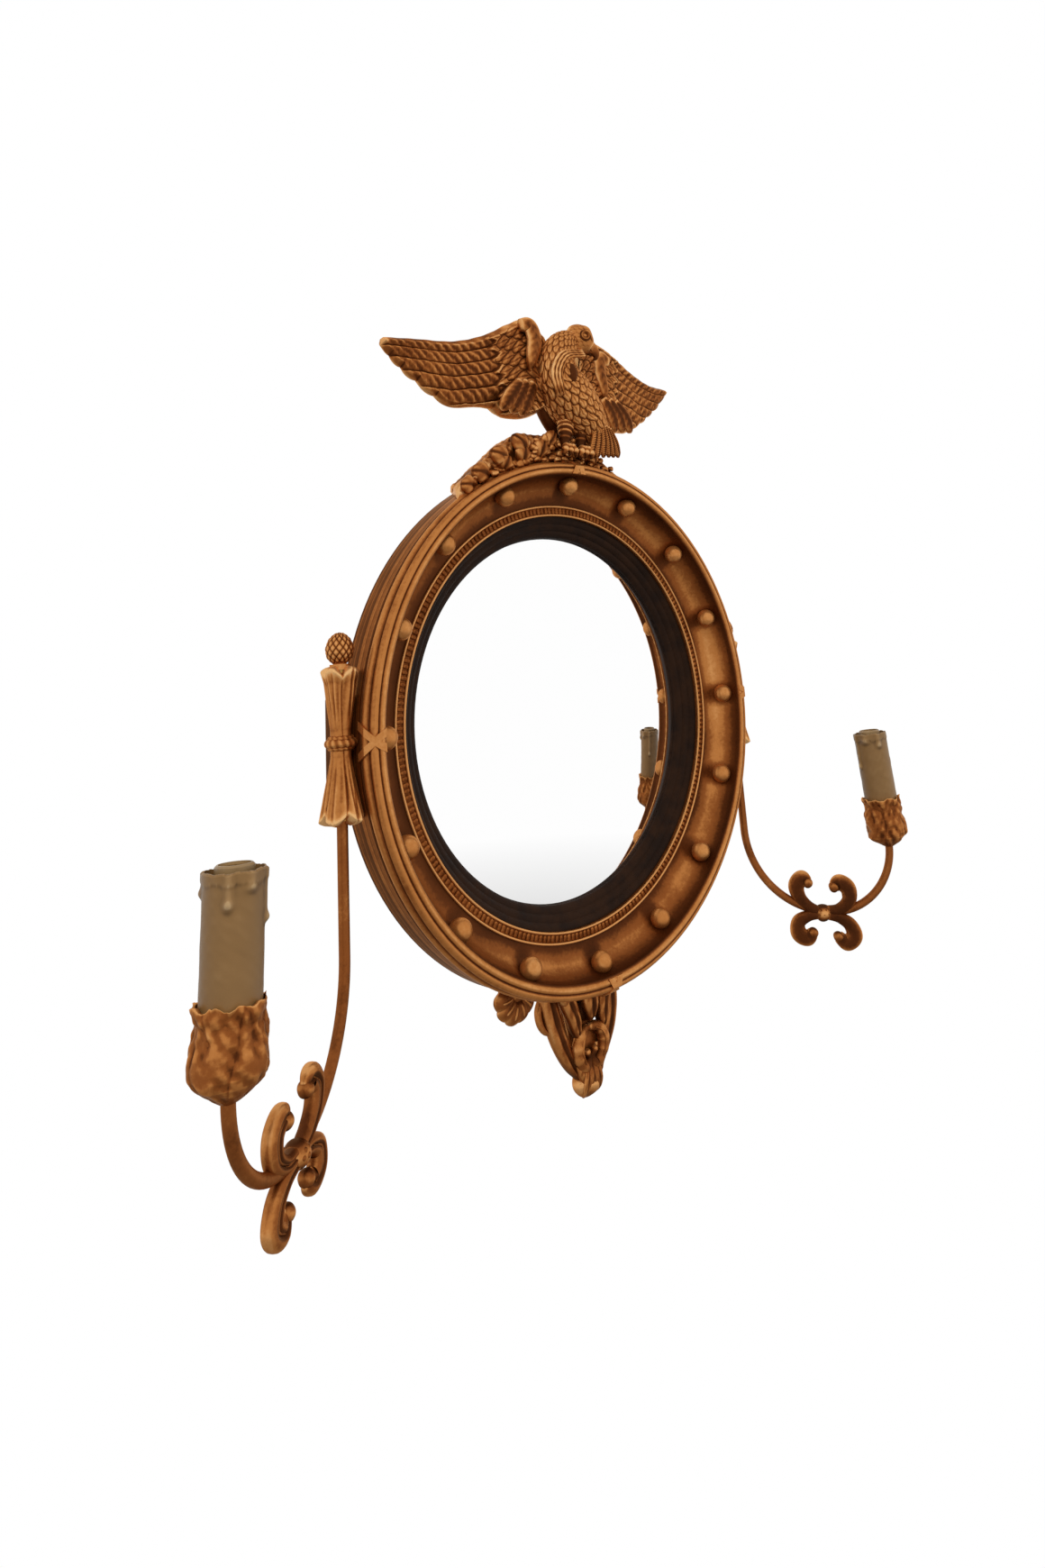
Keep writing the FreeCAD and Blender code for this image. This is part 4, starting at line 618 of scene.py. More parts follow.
# The levels are low in the grooves, at the edges of the hollow and towards the wall, which is dirt together
# with painted shade, and high on the reeds, which is rubbed gold with a painted highlight.
FRONT_DIRT_AND_SHADE_LEVELS = [(0.0, 0.30), (0.19, 0.30), (0.215, 0.02), (0.26, 0.16), (0.36, 0.34), (0.50, 0.52),
                (0.60, 0.44), (0.67, 0.28), (0.705, 0.06), (0.735, 0.60), (0.78, 0.72), (0.815, 0.55),
                (0.835, 0.12), (0.86, 0.62), (0.93, 0.60), (0.965, 0.48)]
SIDE_DIRT_AND_SHADE_LEVELS = [(0.0, 0.22), (0.06, 0.30), (0.22, 0.34), (0.26, 0.08), (0.30, 0.36), (0.44, 0.16),
               (0.48, 0.44), (0.60, 0.34), (0.648, 0.05), (0.67, 0.55), (0.72, 0.66), (0.765, 0.52),
               (0.79, 0.08), (0.81, 0.52), (1.0, 0.60)]


def level_ramp(t, share, levels):
    """Value between stops of (share, value)."""
    return t.ramp(share, [(place, (v, v, v, 1.0)) for place, v in levels], smooth=False)


def relief_turned(t, coords):
    """Relief of the turned ring: dark lines at the radii of its grooves, bright reeds between.

    In the hollow the level falls close to each ball, which is a painted shadow, is higher on the right
    than on the left, which is painted light, and drifts slowly round the ring as cloudy noise. Along the
    outer side it follows fine turned lines. The distance to the nearest ball is the root of
    (radius - ball radius)^2 + (angle from the nearest ball x ball radius)^2.
    """
    x, y, z = t.node("ShaderNodeSeparateXYZ", {0: coords}).outputs
    squares = t.math("ADD", t.math("MULTIPLY", x, x), t.math("MULTIPLY", z, z))
    radius = t.math("SQRT", squares)
    share = t.math("DIVIDE", t.math("SUBTRACT", radius, FRONT_FROM), FRONT_WIDE)
    front = level_ramp(t, share, FRONT_DIRT_AND_SHADE_LEVELS)
    angle = t.math("ARCTAN2", x, z)
    step = 2 * PI / BALLS
    turned = t.math("DIVIDE", angle, step)
    off = t.math("MULTIPLY", t.math("SUBTRACT", turned, t.math("ROUND", turned)), step * BALL_PLACE)
    beside = t.math("SUBTRACT", radius, BALL_PLACE)
    off_squared, beside_squared = t.math("MULTIPLY", off, off), t.math("MULTIPLY", beside, beside)
    away = t.math("SQRT", t.math("ADD", off_squared, beside_squared))
    # Painted shadow of each ball: the level falls by up to 0.30 close to it.
    near = t.node("ShaderNodeMapRange", {"Value": away, "From Min": BALL_SHADOW, "From Max": BALL_LIGHT,
                                         "To Min": 0.30, "To Max": 0.0}).outputs[0]
    hollow = t.math("MULTIPLY", t.math("LESS_THAN", radius, HOLLOW_HIGH),
                    t.math("GREATER_THAN", radius, HOLLOW_LOW))
    drift = t.math("MULTIPLY", t.math("SUBTRACT", t.noise(coords, 9.0, 2.0, 0.5), 0.5), 0.5)
    # Painted light: the sine of the angle makes the right side of the hollow lighter and the left darker.
    drift = t.math("ADD", drift, t.math("MULTIPLY", t.math("SINE", angle), 0.08))
    front = t.math("ADD", front, t.math("MULTIPLY", hollow, t.math("SUBTRACT", drift, near)))
    depth = t.math("DIVIDE", t.math("MULTIPLY", y, -1.0), SIDE_DEEP)
    side = level_ramp(t, depth, SIDE_DIRT_AND_SHADE_LEVELS)
    lines = t.math("MULTIPLY", t.math("SINE", t.math("MULTIPLY", y, 2400.0)), 0.07)
    lines = t.math("ADD", lines, t.math("MULTIPLY", t.math("SINE", t.math("MULTIPLY", y, 1010.0)), 0.07))
    side = t.math("ADD", side, t.math("MULTIPLY", lines, t.math("LESS_THAN", depth, 0.64)))
    outer = t.math("GREATER_THAN", radius, SIDE_FROM)
    mix = t.node("ShaderNodeMix", {0: outer, 2: front, 3: side}, data_type="FLOAT")
    return mix.outputs[0]


# %% [markdown]
# ## Plain finishes
#
# The dark slip, the back and the fittings are quiet surfaces: ebonised wood, plain boards, felt,
# steel, brass and moulded plastic. Each is two close colours mixed by noise, and the same noise is a
# faint bump. A single flat colour would look like paint on a screen.

# %% Plain materials
def plain_material(name, low, high, scale, roughness, metallic=0.0, bump=0.0001,
                   stretch=(1, 1, 1), **inputs):
    """Two colours mixed by stretched noise, with the noise as a fine bump."""
    material, t, shader = new_material(name)
    mapping = t.node("ShaderNodeMapping", {"Vector": object_coords(t), "Scale": stretch})
    cloud = t.noise(mapping.outputs[0], scale, 4.0, 0.6)
    colour = t.ramp(cloud, [(0.3, low), (0.7, high)])
    t.tree.links.new(colour, shader.inputs["Base Color"])
    uneven = t.math("ADD", roughness - 0.06, t.math("MULTIPLY", cloud, 0.12))
    t.tree.links.new(uneven, shader.inputs["Roughness"])
    shader.inputs["Metallic"].default_value = metallic
    for key, value in inputs.items():
        shader.inputs[key.replace("_", " ")].default_value = value
    set_bump(t, shader, cloud, bump)
    return material


# %% Gilt finishes
gilt_carved = gilt_material("gilt_carved", relief_attribute, wear=0.42)
gilt_turned = gilt_material("gilt_turned", relief_turned, wear=0.30)
gilt_ball = gilt_material("gilt_ball", relief_level(0.66), wear=0.35)
gilt_plain = gilt_material("gilt_plain", relief_level(0.50), wear=0.45)
gilt_tube = gilt_material("gilt_tube", relief_level(0.40), wear=0.5)
# Dark gilt that is painted shade: it stands for the shade in the gap between the wings, in the hollow beside
# the neck, round the eyes and between the ring and each sheaf.
gilt_painted_shade = gilt_material("gilt_painted_shade", relief_level(0.12), wear=0.2)
gilt_leaf = gilt_material("gilt_leaf", relief_shifted(0.10), wear=0.35)
gilt_brown = gilt_material("gilt_brown", relief_shifted(-0.02), wear=0.45)
gilt_cast = gilt_material("gilt_cast", relief_shifted(-0.13), wear=0.5)
gilt_bright = gilt_material("gilt_bright", relief_level(0.66), wear=0.4)
# The fillets are kept bright as a painted highlight.
gilt_fillet_highlight = gilt_material("gilt_fillet_highlight", relief_level(0.80), wear=0.25)
print("gilt finishes:", sum(m.name.startswith("gilt_") for m in bpy.data.materials))

# %% Wood, felt, metal and plastic
ebony = plain_material("ebonised", srgb(26, 14, 7), srgb(44, 26, 14), 60.0, 0.66, bump=0.00008,
                       Specular_IOR_Level=0.12)
cream = plain_material("cream_plastic", srgb(140, 112, 74), srgb(170, 140, 98), 30.0, 0.4, bump=0.00003)
wood = plain_material("plain_wood", srgb(150, 112, 72), srgb(186, 146, 98), 40.0, 0.62,
                      stretch=(1, 1, 9), bump=0.0002)
felt = plain_material("felt", srgb(38, 58, 44), srgb(56, 80, 60), 900.0, 0.95, bump=0.0003)
steel = plain_material("steel", srgb(150, 150, 152), srgb(190, 190, 194), 300.0, 0.34,
                       metallic=0.9, bump=0.00003)
brass = plain_material("brass", srgb(160, 122, 58), srgb(196, 156, 84), 200.0, 0.36,
                       metallic=0.9, bump=0.00003)
block = plain_material("block_plastic", srgb(206, 200, 186), srgb(222, 216, 202), 80.0, 0.5, bump=0.00003)
rubber = plain_material("black_rubber", srgb(24, 24, 24), srgb(36, 35, 34), 200.0, 0.6, bump=0.00005)
print("finishes so far:", len(bpy.data.materials))


# %% [markdown]
# ## Wax and silvered glass
#
# The candle is a card tube dipped in wax, which has yellowed and holds dirt beside its runs; painted
# shade darkens it there too. It takes its colour from the same relief value as the carving. The glass
# is silvered behind, so it reads as a mirror: a metal with almost no roughness, slightly hazy near its
# rim.

# %% Wax
def wax_material():
    """Old wax over card: brown in the crevices from dirt and painted shade, buff on the runs and the rim, half
    glossy.
    """
    material, t, shader = new_material("wax_card")
    coords = object_coords(t)
    cloud = t.noise(coords, 48.0, 5.0, 0.6)
    relief = relief_attribute(t, coords)
    level = t.math("ADD", relief, t.math("MULTIPLY", t.math("SUBTRACT", cloud, 0.5), 0.35), clamp=True)
    # Low relief gives brown: dirt together with painted shade in the crevices and beside the runs.
    colour = t.ramp(level, [(0.0, srgb(58, 38, 16)), (0.3, srgb(104, 76, 42)), (0.5, srgb(136, 103, 62)),
                            (0.75, srgb(156, 122, 80)), (1.0, srgb(196, 166, 124))])
    uneven = t.math("ADD", 0.36, t.math("MULTIPLY", cloud, 0.2))
    t.tree.links.new(colour, shader.inputs["Base Color"])
    t.tree.links.new(uneven, shader.inputs["Roughness"])
    shader.inputs["Specular IOR Level"].default_value = 0.35
    set_bump(t, shader, cloud, 0.00018)
    return material


wax = wax_material()


# %% Silvered glass
HAZE_FROM = 0.128       # radius beyond which the silvering is a little hazy


def mirror_material():
    """Silvered glass: a near-perfect reflector, with the faintest haze towards its rim."""
    material, t, shader = new_material("silvered_glass")
    x, _, z = t.node("ShaderNodeSeparateXYZ", {0: object_coords(t)}).outputs
    radius = t.math("SQRT", t.math("ADD", t.math("MULTIPLY", x, x), t.math("MULTIPLY", z, z)))
    rim = t.math("MULTIPLY", t.math("SUBTRACT", radius, HAZE_FROM, clamp=True), 3.0)
    t.tree.links.new(t.math("ADD", 0.012, rim), shader.inputs["Roughness"])
    shader.inputs["Base Color"].default_value = (0.99, 0.99, 0.99, 1.0)
    shader.inputs["Metallic"].default_value = 1.0
    return material


silvered = mirror_material()

# %% [markdown]
# ## Finishes of the CAD nodes
#
# Many nodes are shown just as they come from the CAD: the turned ring, the balls, the ribbon
# crosses, the arm tubes, the back and its screws. Their shapes are simple enough for solids, and a
# second mesh over them would only repeat them. Each gets the finish of its material slot, and a few
# have one of their own.

# %% Materials of the CAD nodes
by_slot = {"gilt_wood": gilt_plain, "ebonised_wood": ebony, "silvered_glass": silvered, "plain_wood": wood,
           "felt": felt, "steel": steel, "brass": brass, "block_plastic": block, "black_rubber": rubber,
           "gilt_metal": gilt_tube, "cream_plastic": cream, "candle_card": wax}
by_node = {"frame_ring": gilt_turned, "beaded_slip": gilt_turned, "cavetto_balls": gilt_ball}
for place in ("top", "right", "bottom", "left"):
    by_node["ribbon_cross_" + place] = gilt_bright
for place in ("left", "right"):
    by_node["finial_collar_" + place] = gilt_bright
slot_of = {row["node"]: row["material_slot"] for row in frame["record"]["subparts"]}
for node_name, node_object in frame["nodes"].items():
    chosen = by_node.get(node_name, by_slot[slot_of[node_name]])
    node_object.data.materials.clear()
    node_object.data.materials.append(chosen)
print("CAD nodes with a finish:", len(slot_of))

# %% [markdown]
# ## The eagle's wings
#
# Each wing is carved from one board. Here it is a slab between its leading and trailing edges.
# Across it runs the distance from the leading edge, and dividing that by the feather width numbers
# the feathers: the whole part says which feather, the rest says where across it. Near the shoulder
# rounded scales take over. One surface keeps the feathers joined, as they are in the wood, which
# separate feather blades would not.

# %% Wings
WING_ROOT_D, WING_TIP_D = 47.0, 27.0    # front of the wing at the body and at its tip
WING_SPAN = 165.0
WING_EDGE = 3.5                         # the faces close over this distance from an edge


def wing(leading, trailing, feathers, covert_share, seed, nu=300, nv=200, nb=56):
    """Closed wing with relief on both faces. Edges are (x, z) from the root to the tip.

    A point lies at (1 - v) x leading + v x trailing. Its depth is the slab's middle + half the
    thickness + swell + feather height, and the height fades near both edges. A feather is half a
    round strip and half a slope, so that each lies over the next, with barbs as a slanting sine.
    """
    lead, trail = smooth_path(leading, nu), smooth_path(trailing, nu)
    u = np.linspace(0, 1, nu)[:, None]
    reach = np.sqrt(((trail - lead) ** 2).sum(1))[:, None]
    width_of = (feathers[0] + (feathers[1] - feathers[0]) * u)
    last = reach / width_of
    scallop = 2.3 * np.abs(np.sin(PI * last)) ** 0.7
    scallop = scallop * np.clip((u - 0.25) * 5, 0, 1) * np.clip((1 - u) * 8, 0, 1)
    down = unit(trail - lead)
    trail = trail + down * scallop
    reach = reach + scallop
    length = np.r_[0, np.cumsum(np.sqrt((np.diff(lead, axis=0) ** 2).sum(1)))][:, None]

    def face(v, front):
        """Points of one face at shares v from the leading to the trailing edge."""
        flat = lead[:, None] * (1 - v[..., None]) + trail[:, None] * v[..., None]
        gap = v * reach
        bend = 1 + 0.35 * np.clip(gap / 90, 0, 1) * u
        number = gap / width_of / bend * (1 + 0.02 * noise1(length / 18.0, seed))
        place = number % 1.0
        whole = np.floor(number)
        rounded = np.sqrt(np.clip(1 - (2 * place - 1) ** 2, 0, 1))
        strip = 0.55 * rounded + 0.45 * (1 - place)
        wander = 0.2 * noise1(length / 9.0, seed + 1)
        barb = np.sin(2 * PI * (length / 7.6 + 1.5 * place + 0.37 * whole + wander))
        feather = 3.1 * strip + 0.42 * barb * rounded
        reach_x = np.abs(flat[..., 0])
        p = gap / 10.8 + 0.10 * noise1(length / 14.0, seed + 2)
        q = length / 9.4 - gap / 46.0 + 0.15 * noise1(gap / 12.0, seed + 3)
        covert = 3.9 * scales(p, q)
        border = covert_share * length[-1] * (1.02 - 0.30 * v + 0.05 * np.sin(p * 2 * PI))
        blend = np.clip((border - length) / 3.0, 0, 1)
        relief = feather * (1 - blend) + (covert + 1.3) * blend
        edge = np.clip(np.minimum(v, 1 - v) * reach / WING_EDGE, 0, 1) ** 0.5
        swell = 3.2 * np.sin(PI * np.clip(v, 0, 1)) ** 0.8 * (1 - 0.5 * u)
        swell = swell + 3.0 * np.exp(-((gap / 7.0) ** 2)) * (1 - 0.4 * u)
        front_depth = WING_ROOT_D + (WING_TIP_D - WING_ROOT_D) * (reach_x / WING_SPAN)
        thick = 15.0 - 9.0 * u
        middle = front_depth - thick / 2
        if front:
            depth = middle + (thick / 2 + swell - 2.6 + relief) * edge
        else:
            depth = middle - (thick / 2 - 1.4 + 0.5 * relief) * edge
        rise = 0.35 * noise3(np.stack([flat[..., 0], depth, flat[..., 1]], -1), seed, 26.0)
        return pt(flat[..., 0], depth + rise * edge, flat[..., 1])

    front = face(np.broadcast_to(np.linspace(0, 1, nv)[None], (nu, nv)), True)
    behind = face(np.broadcast_to(np.linspace(1, 0, nb + 2)[None, 1:-1], (nu, nb)), False)
    return solid(np.concatenate([front, behind], 1))


left_leading = [(-20, 292), (-27, 308), (-38, 315), (-52, 309.5), (-72, 298), (-104, 286.5), (-138, 283),
                (-163, 280.5)]
left_trailing = [(-16, 252), (-30, 238), (-58, 231.5), (-78, 239), (-112, 237), (-139, 252.5),
                 (-158, 266.5), (-166, 274)]
right_leading = [(14, 294), (28, 306), (43, 311), (66, 306), (96, 295.5), (124, 290), (150, 291)]
right_trailing = [(14, 243), (38, 234), (56, 233), (78, 238), (102, 248), (128, 265), (153, 284)]
left_wing = wing(left_leading, left_trailing, (13.0, 7.2), 0.45, 3)
right_wing = wing(right_leading, right_trailing, (12.0, 7.2), 0.44, 8)
print("wing points:", len(left_wing[0]), len(right_wing[0]))


# %% Leading edge, knuckle and scapulars
KNUCKLE = ((6, 0, 7), (-3, 1.5, 6.5), (-7, 2.5, 18), (-4, 2.5, 31), (-2, 1, 45))  # out, forward, down
SCAPULARS = (((54, 258), (74, 233)), ((47, 259), (64, 232)), ((40, 259), (54, 231)))  # start, end


def rim_and_scapulars(side, leading):
    """Rounded leading edge, the knuckle that hangs from the shoulder, and three long root feathers.

    The edge is a rod along the wing's own leading line, and the others are blades laid on the face.
    """
    leading = np.array(leading, float)
    depth = WING_ROOT_D + (WING_TIP_D - WING_ROOT_D) * np.abs(leading[:, 0]) / WING_SPAN - 3.0
    edge = pt(leading[:, 0], depth, leading[:, 1] - 3.2)
    radii = np.linspace(5.6, 3.4, len(leading))
    shapes = [rod(edge[1:], radii[1:], count=90, swell=lambda t: 1 + 0.03 * np.sin(t * 60))]
    top = leading[2]
    low = 0.0 if side < 0 else 7.0
    knuckle = [pt(top[0] + side * (5.5 + dx), 46.5 + dd - low / 2, top[1] - drop - low)
               for dx, dd, drop in KNUCKLE]
    shapes.append(blade(knuckle, [5.0, 7.0, 7.2, 6.2, 4.6], 4.2, vein=0.0, count=80, barbs=0.08, barb_count=7))
    for i, (start, end) in enumerate(SCAPULARS):
        a = pt(side * start[0], 48.5 - 0.2 * i, start[1])
        b = pt(side * end[0], 47.5 - 0.2 * i, end[1])
        mid = (a + b) / 2 + pt(side * 2.0, 2.0, -1.0)
        shapes.append(blade([a, mid, b], [4.6, 6.6, 6.2], 3.6, barbs=0.08, barb_count=6, vein=0.12))
    return shapes


piece("eagle_wing_left_feathers", [left_wing] + rim_and_scapulars(-1, left_leading), "frame",
      gilt_carved, ["eagle_wing_left"], relief=(16, 0.62))
piece("eagle_wing_right_feathers", [right_wing] + rim_and_scapulars(1, right_leading), "frame",
      gilt_carved, ["eagle_wing_right"], relief=(16, 0.62))

# %% [markdown]
# ## The eagle's body and head
#
# The body bends from the rump over the breast up to a head that looks down to its left. A tube along
# a curved spine gives that bend, and small overlapping scales are added to its radius. Their rows
# are spaced closer towards the neck and wander a little, because a carver cut them by eye.

# %% Scaly body
# x, depth, height and radius, from the rump to the neck
spine = np.array([[34, 47, 219, 8.5], [26, 48, 227, 13.0], [15, 49, 238, 17.5], [2, 49, 250, 20.5],
                  [-9, 49, 263, 20.0], [-14, 50, 277, 16.5], [-12, 51, 289, 13.4],
                  [-4, 52.5, 298, 11.6], [4, 54, 304, 7.5]])
BODY_FLAT = 0.86        # the body's depth as a share of its width
SCALES_ROUND = 17


def scaly_body(points, nu=260, around=260):
    """Plump tube along the spine, covered in scales that point down to the tail.

    A ring is the spine's point + (radius + scale height) x (cos t x side + 0.86 x sin t x face).
    The rows' number is the logarithm of 1 + distance from the neck, so they widen on the way down.
    """
    data = smooth_path(points, nu)
    path, radius = pt(data[:, 0], data[:, 1], data[:, 2]), data[:, 3]
    _, side, face = across(path, (0, -1, 0))
    length = np.r_[0, np.cumsum(np.sqrt((np.diff(path, axis=0) ** 2).sum(1)))]
    turn = np.arange(around) * 2 * PI / around
    down = (length[-1] - length)[:, None]
    q = np.log(1 + down / 62) * 62 / 3.1
    q = q + 0.30 * np.sin(3 * turn + 0.8)[None] + 0.16 * np.sin(7 * turn)[None]
    p = turn[None] / (2 * PI) * SCALES_ROUND + 0.25 + 0.30 * noise1(down / 16.0, 6)
    height = (1.7 + 1.9 * np.clip(down / 70, 0, 1)) * scales(p, q)
    rings = path[:, None] + (np.cos(turn)[None] * (radius[:, None] + height))[..., None] * side[:, None]
    rings = rings + (BODY_FLAT * np.sin(turn)[None] * (radius[:, None] + height))[..., None] * face[:, None]
    return solid(rings)


# %% Head
HEAD = np.array([8.5, -54.0, 305.5])
LOOK = unit(np.array([0.70, -0.38, -0.52]))
HEAD_SIDE = unit(np.cross(LOOK, (0, 0, 1)))
HEAD_UP = np.cross(HEAD_SIDE, LOOK)


def head_point(forward, left, rise):
    """Point in the head's own directions: along the look, to its left, upwards."""
    return HEAD + LOOK * forward - HEAD_SIDE * left + HEAD_UP * rise


def head_ball():
    """Skull that narrows towards the beak, with small scales laid back from it.

    The radius is that of an egg, 12.2 x root(1 - (along / half length)^2), with a longer half
    towards the beak, plus the scales and a brow: a bell along the look and beside the crown.
    """
    count, around = 110, 150
    t = np.linspace(0, 1, count + 2)[1:-1]
    along = -11.5 + 26.0 * t
    radius = 12.2 * np.sqrt(np.clip(1 - (along / np.where(along > 0, 15.5, 12.2)) ** 2, 0.01, 1))
    turn = np.arange(around) * 2 * PI / around
    p = np.broadcast_to(turn[None] / (2 * PI) * SCALES_ROUND, (count, around))
    q = np.broadcast_to(((14.5 - along) / 3.4)[:, None], (count, around))
    height = 0.75 * scales(p, q) * np.clip((11.5 - along) / 6, 0, 1)[:, None]
    brow_along = np.exp(-(((along - 3.0) / 4.5) ** 2))[:, None]
    brow_round = np.exp(-(((np.abs(np.sin(turn)) - 0.80) / 0.2) ** 2))[None]
    r = radius[:, None] + height + 1.5 * brow_along * brow_round
    rings = (HEAD + along[:, None, None] * LOOK + (np.cos(turn)[None] * r)[..., None] * HEAD_SIDE * 0.9
             + (np.sin(turn)[None] * r)[..., None] * HEAD_UP)
    return solid(rings)


# %% Beak and eyes
upper_beak = [head_point(9, 0, 0.5), head_point(14.5, 0, 0.2), head_point(19.5, 0, -1.8),
              head_point(21.8, 0, -5.0), head_point(21.0, 0, -8.4)]
lower_beak = [head_point(8, 0, -3.6), head_point(13.5, 0, -4.4), head_point(17.5, 0, -5.6)]
beak = [rod(upper_beak, [6.2, 5.2, 3.8, 2.3, 0.5], facing=tuple(HEAD_SIDE), count=50, around=28, flat=0.8),
        rod(lower_beak, [4.4, 3.2, 0.9], facing=tuple(HEAD_SIDE), count=30, flat=0.8)]
for left in (1, -1):
    lip = [head_point(7, left * 4.6, -3.2), head_point(12, left * 3.8, -2.6), head_point(16, left * 2.4, -3.0)]
    beak.append(rod(lip, [0.9, 1.2, 0.6], count=24, around=12))
eyes, eye_rings = [], []
for left in (-1, 1):
    centre = head_point(3.8, left * 10.4, 2.0)
    outward = unit(centre - head_point(3.0, 0, 0.5))
    eyes.append(ball(centre - outward * 1.0, (2.2, 2.2, 2.2)))
    eyes.append(hoop(centre + outward * 0.7, 3.0, 0.8, axis=outward, around=48))
    eye_rings.append(hoop(centre + outward * 0.2, 4.3, 0.9, axis=outward, around=48))
    lid = [head_point(-0.5, left * 10.6, 4.2), head_point(3.8, left * 11.4, 6.0),
           head_point(9.0, left * 8.4, 4.2), head_point(12.5, left * 5.4, 2.0)]
    eyes.append(rod(lid, [0.6, 1.1, 1.1, 0.4], count=36, around=16))
print("beak shapes:", len(beak), "eye shapes:", len(eyes))


# %% [markdown]
# ## Throat, tail and legs
#
# Under the beak the carver cut a hollow, dark in its shade, and let a few long feathers sweep round it.
# The hollow is a low, dark, oval form between the feathers here, whose darkness is painted shade,
# because a real recess would have to cut through the scales. Tail feathers, thighs and toes are
# separate carvings set against the body, so blades and rods along short paths suit them.

# %% Throat feathers
def throat_feathers():
    """Narrow feathers that sweep from under the beak, down and round the hollow beside the neck."""
    shapes = []
    for i in range(3):
        out = 3.2 * i
        line = [pt(9.2 - out * 0.4, 60, 289.7 + out * 0.5),
                pt(-16.4 - out * 0.8, 64 - 0.4 * i, 280.5 + out * 0.4),
                pt(-25.6 - out, 65.5 - 0.5 * i, 265.9), pt(-22.3 - out, 65.5 - 0.5 * i, 248.4 - out * 0.3)]
        shapes.append(blade(line, [1.6, 2.2, 2.6, 2.2], 2.2, barbs=0.12, barb_count=9, vein=0.3,
                            count=60, around=20))
    return shapes


# %% Tail and legs
def tail_and_legs():
    """Fan of long tail feathers, feathered thighs, and toes on the rocks."""
    shapes = []
    for i in range(6):
        a = pt(18 + 3.0 * i, 60.5 - 0.5 * abs(i - 2.5), 233 - 0.9 * i)
        c = pt(13.0 + 6.8 * i, 57.0 - 0.8 * abs(i - 2.5), 201.6 + 0.9 * i)
        b = (a + c) / 2 + pt(0.8, 1.2, 0)
        shapes.append(blade([a, b, c], [2.6, 3.7, 3.9], 2.6, barbs=0.2, barb_count=16, vein=0.45, count=60))
    for x in (-8.0, 10.0):
        thigh = [pt(x + 5, 47, 240), pt(x + 1, 49, 228), pt(x - 3, 51, 217), pt(x - 4, 51, 209)]
        shapes.append(rod(thigh, [8.0, 7.0, 4.6, 2.8], count=50, swell=lambda t: 1 + 0.06 * np.sin(t * 44)))
        for spread in (-7, 0, 7):
            toe = [pt(x - 4, 53, 208), pt(x - 5 + 0.5 * spread, 57.5, 208.5),
                   pt(x - 6 + 0.9 * spread, 59.5, 203.5), pt(x - 6.5 + spread, 58, 200.5)]
            shapes.append(rod(toe, [2.8, 2.8, 2.2, 0.7], count=30, around=16,
                              swell=lambda t: 1 + 0.12 * np.sin(t * 22)))
        back_toe = [pt(x - 3, 51, 208), pt(x - 1, 46, 206), pt(x + 1, 42, 203)]
        shapes.append(rod(back_toe, [2.6, 2.2, 0.8], count=20, around=14))
    return shapes


# %% The eagle's body pieces
# The mantle is a dark form that fills the gap between the wings as painted shade, and the hollow is a
# dark oval that stands just proud of the breast, the painted shadow of a recess beside the neck.
shade_mantle = ball((4.0, -30.0, 262.0), (27.0, 12.0, 42.0), around=60, count=50, bumps=0.015, seed=4)
hollow = ball((-11.6, -63.5, 268.0), (4.8, 5.8, 10.5), around=40, count=30, bumps=0.02, seed=6)
piece("eagle_mantle_shade", [shade_mantle, hollow], "frame", gilt_painted_shade)
piece("eagle_body_scales", [scaly_body(spine), head_ball()] + throat_feathers(), "frame",
      gilt_leaf, ["eagle_body"], relief=(16, 0.55))
piece("eagle_head_details", beak + eyes, "frame", gilt_brown, relief=(10, 0.5))
# The rings round the eyes are dark with painted shade.
piece("eagle_eye_rings", eye_rings, "frame", gilt_painted_shade)
piece("eagle_tail_and_legs", tail_and_legs(), "frame", gilt_carved, ["eagle_tail"],
      relief=(12, 0.5))

# %% [markdown]
# ## The rocky plinth
#
# The eagle stands on a carved mound of rock and leaves that rides the top of the ring. It climbs in
# a long slope from the left and drops steeply behind the tail. A mound drawn over the ring by angle
# follows the curve by itself, noise roughens it, and leaves and stones are laid on its face.

# %% The mound
RING_TOP = 197.4                # radius of the ring's outer side
HILL_FROM, HILL_TO = -35.5, 35.0  # degrees from the top that the mound covers
# degrees from the top, and height of the mound over the ring's side
HILL = np.array([[-35.5, 3.0], [-34.5, 7.0], [-30.0, 10.5], [-25.0, 16.5], [-18.0, 26.0], [-12.5, 31.0],
                 [0.0, 25.0], [9.0, 20.0], [13.0, 10.0], [17.0, 6.0], [33.0, 4.0], [35.0, 3.0]])


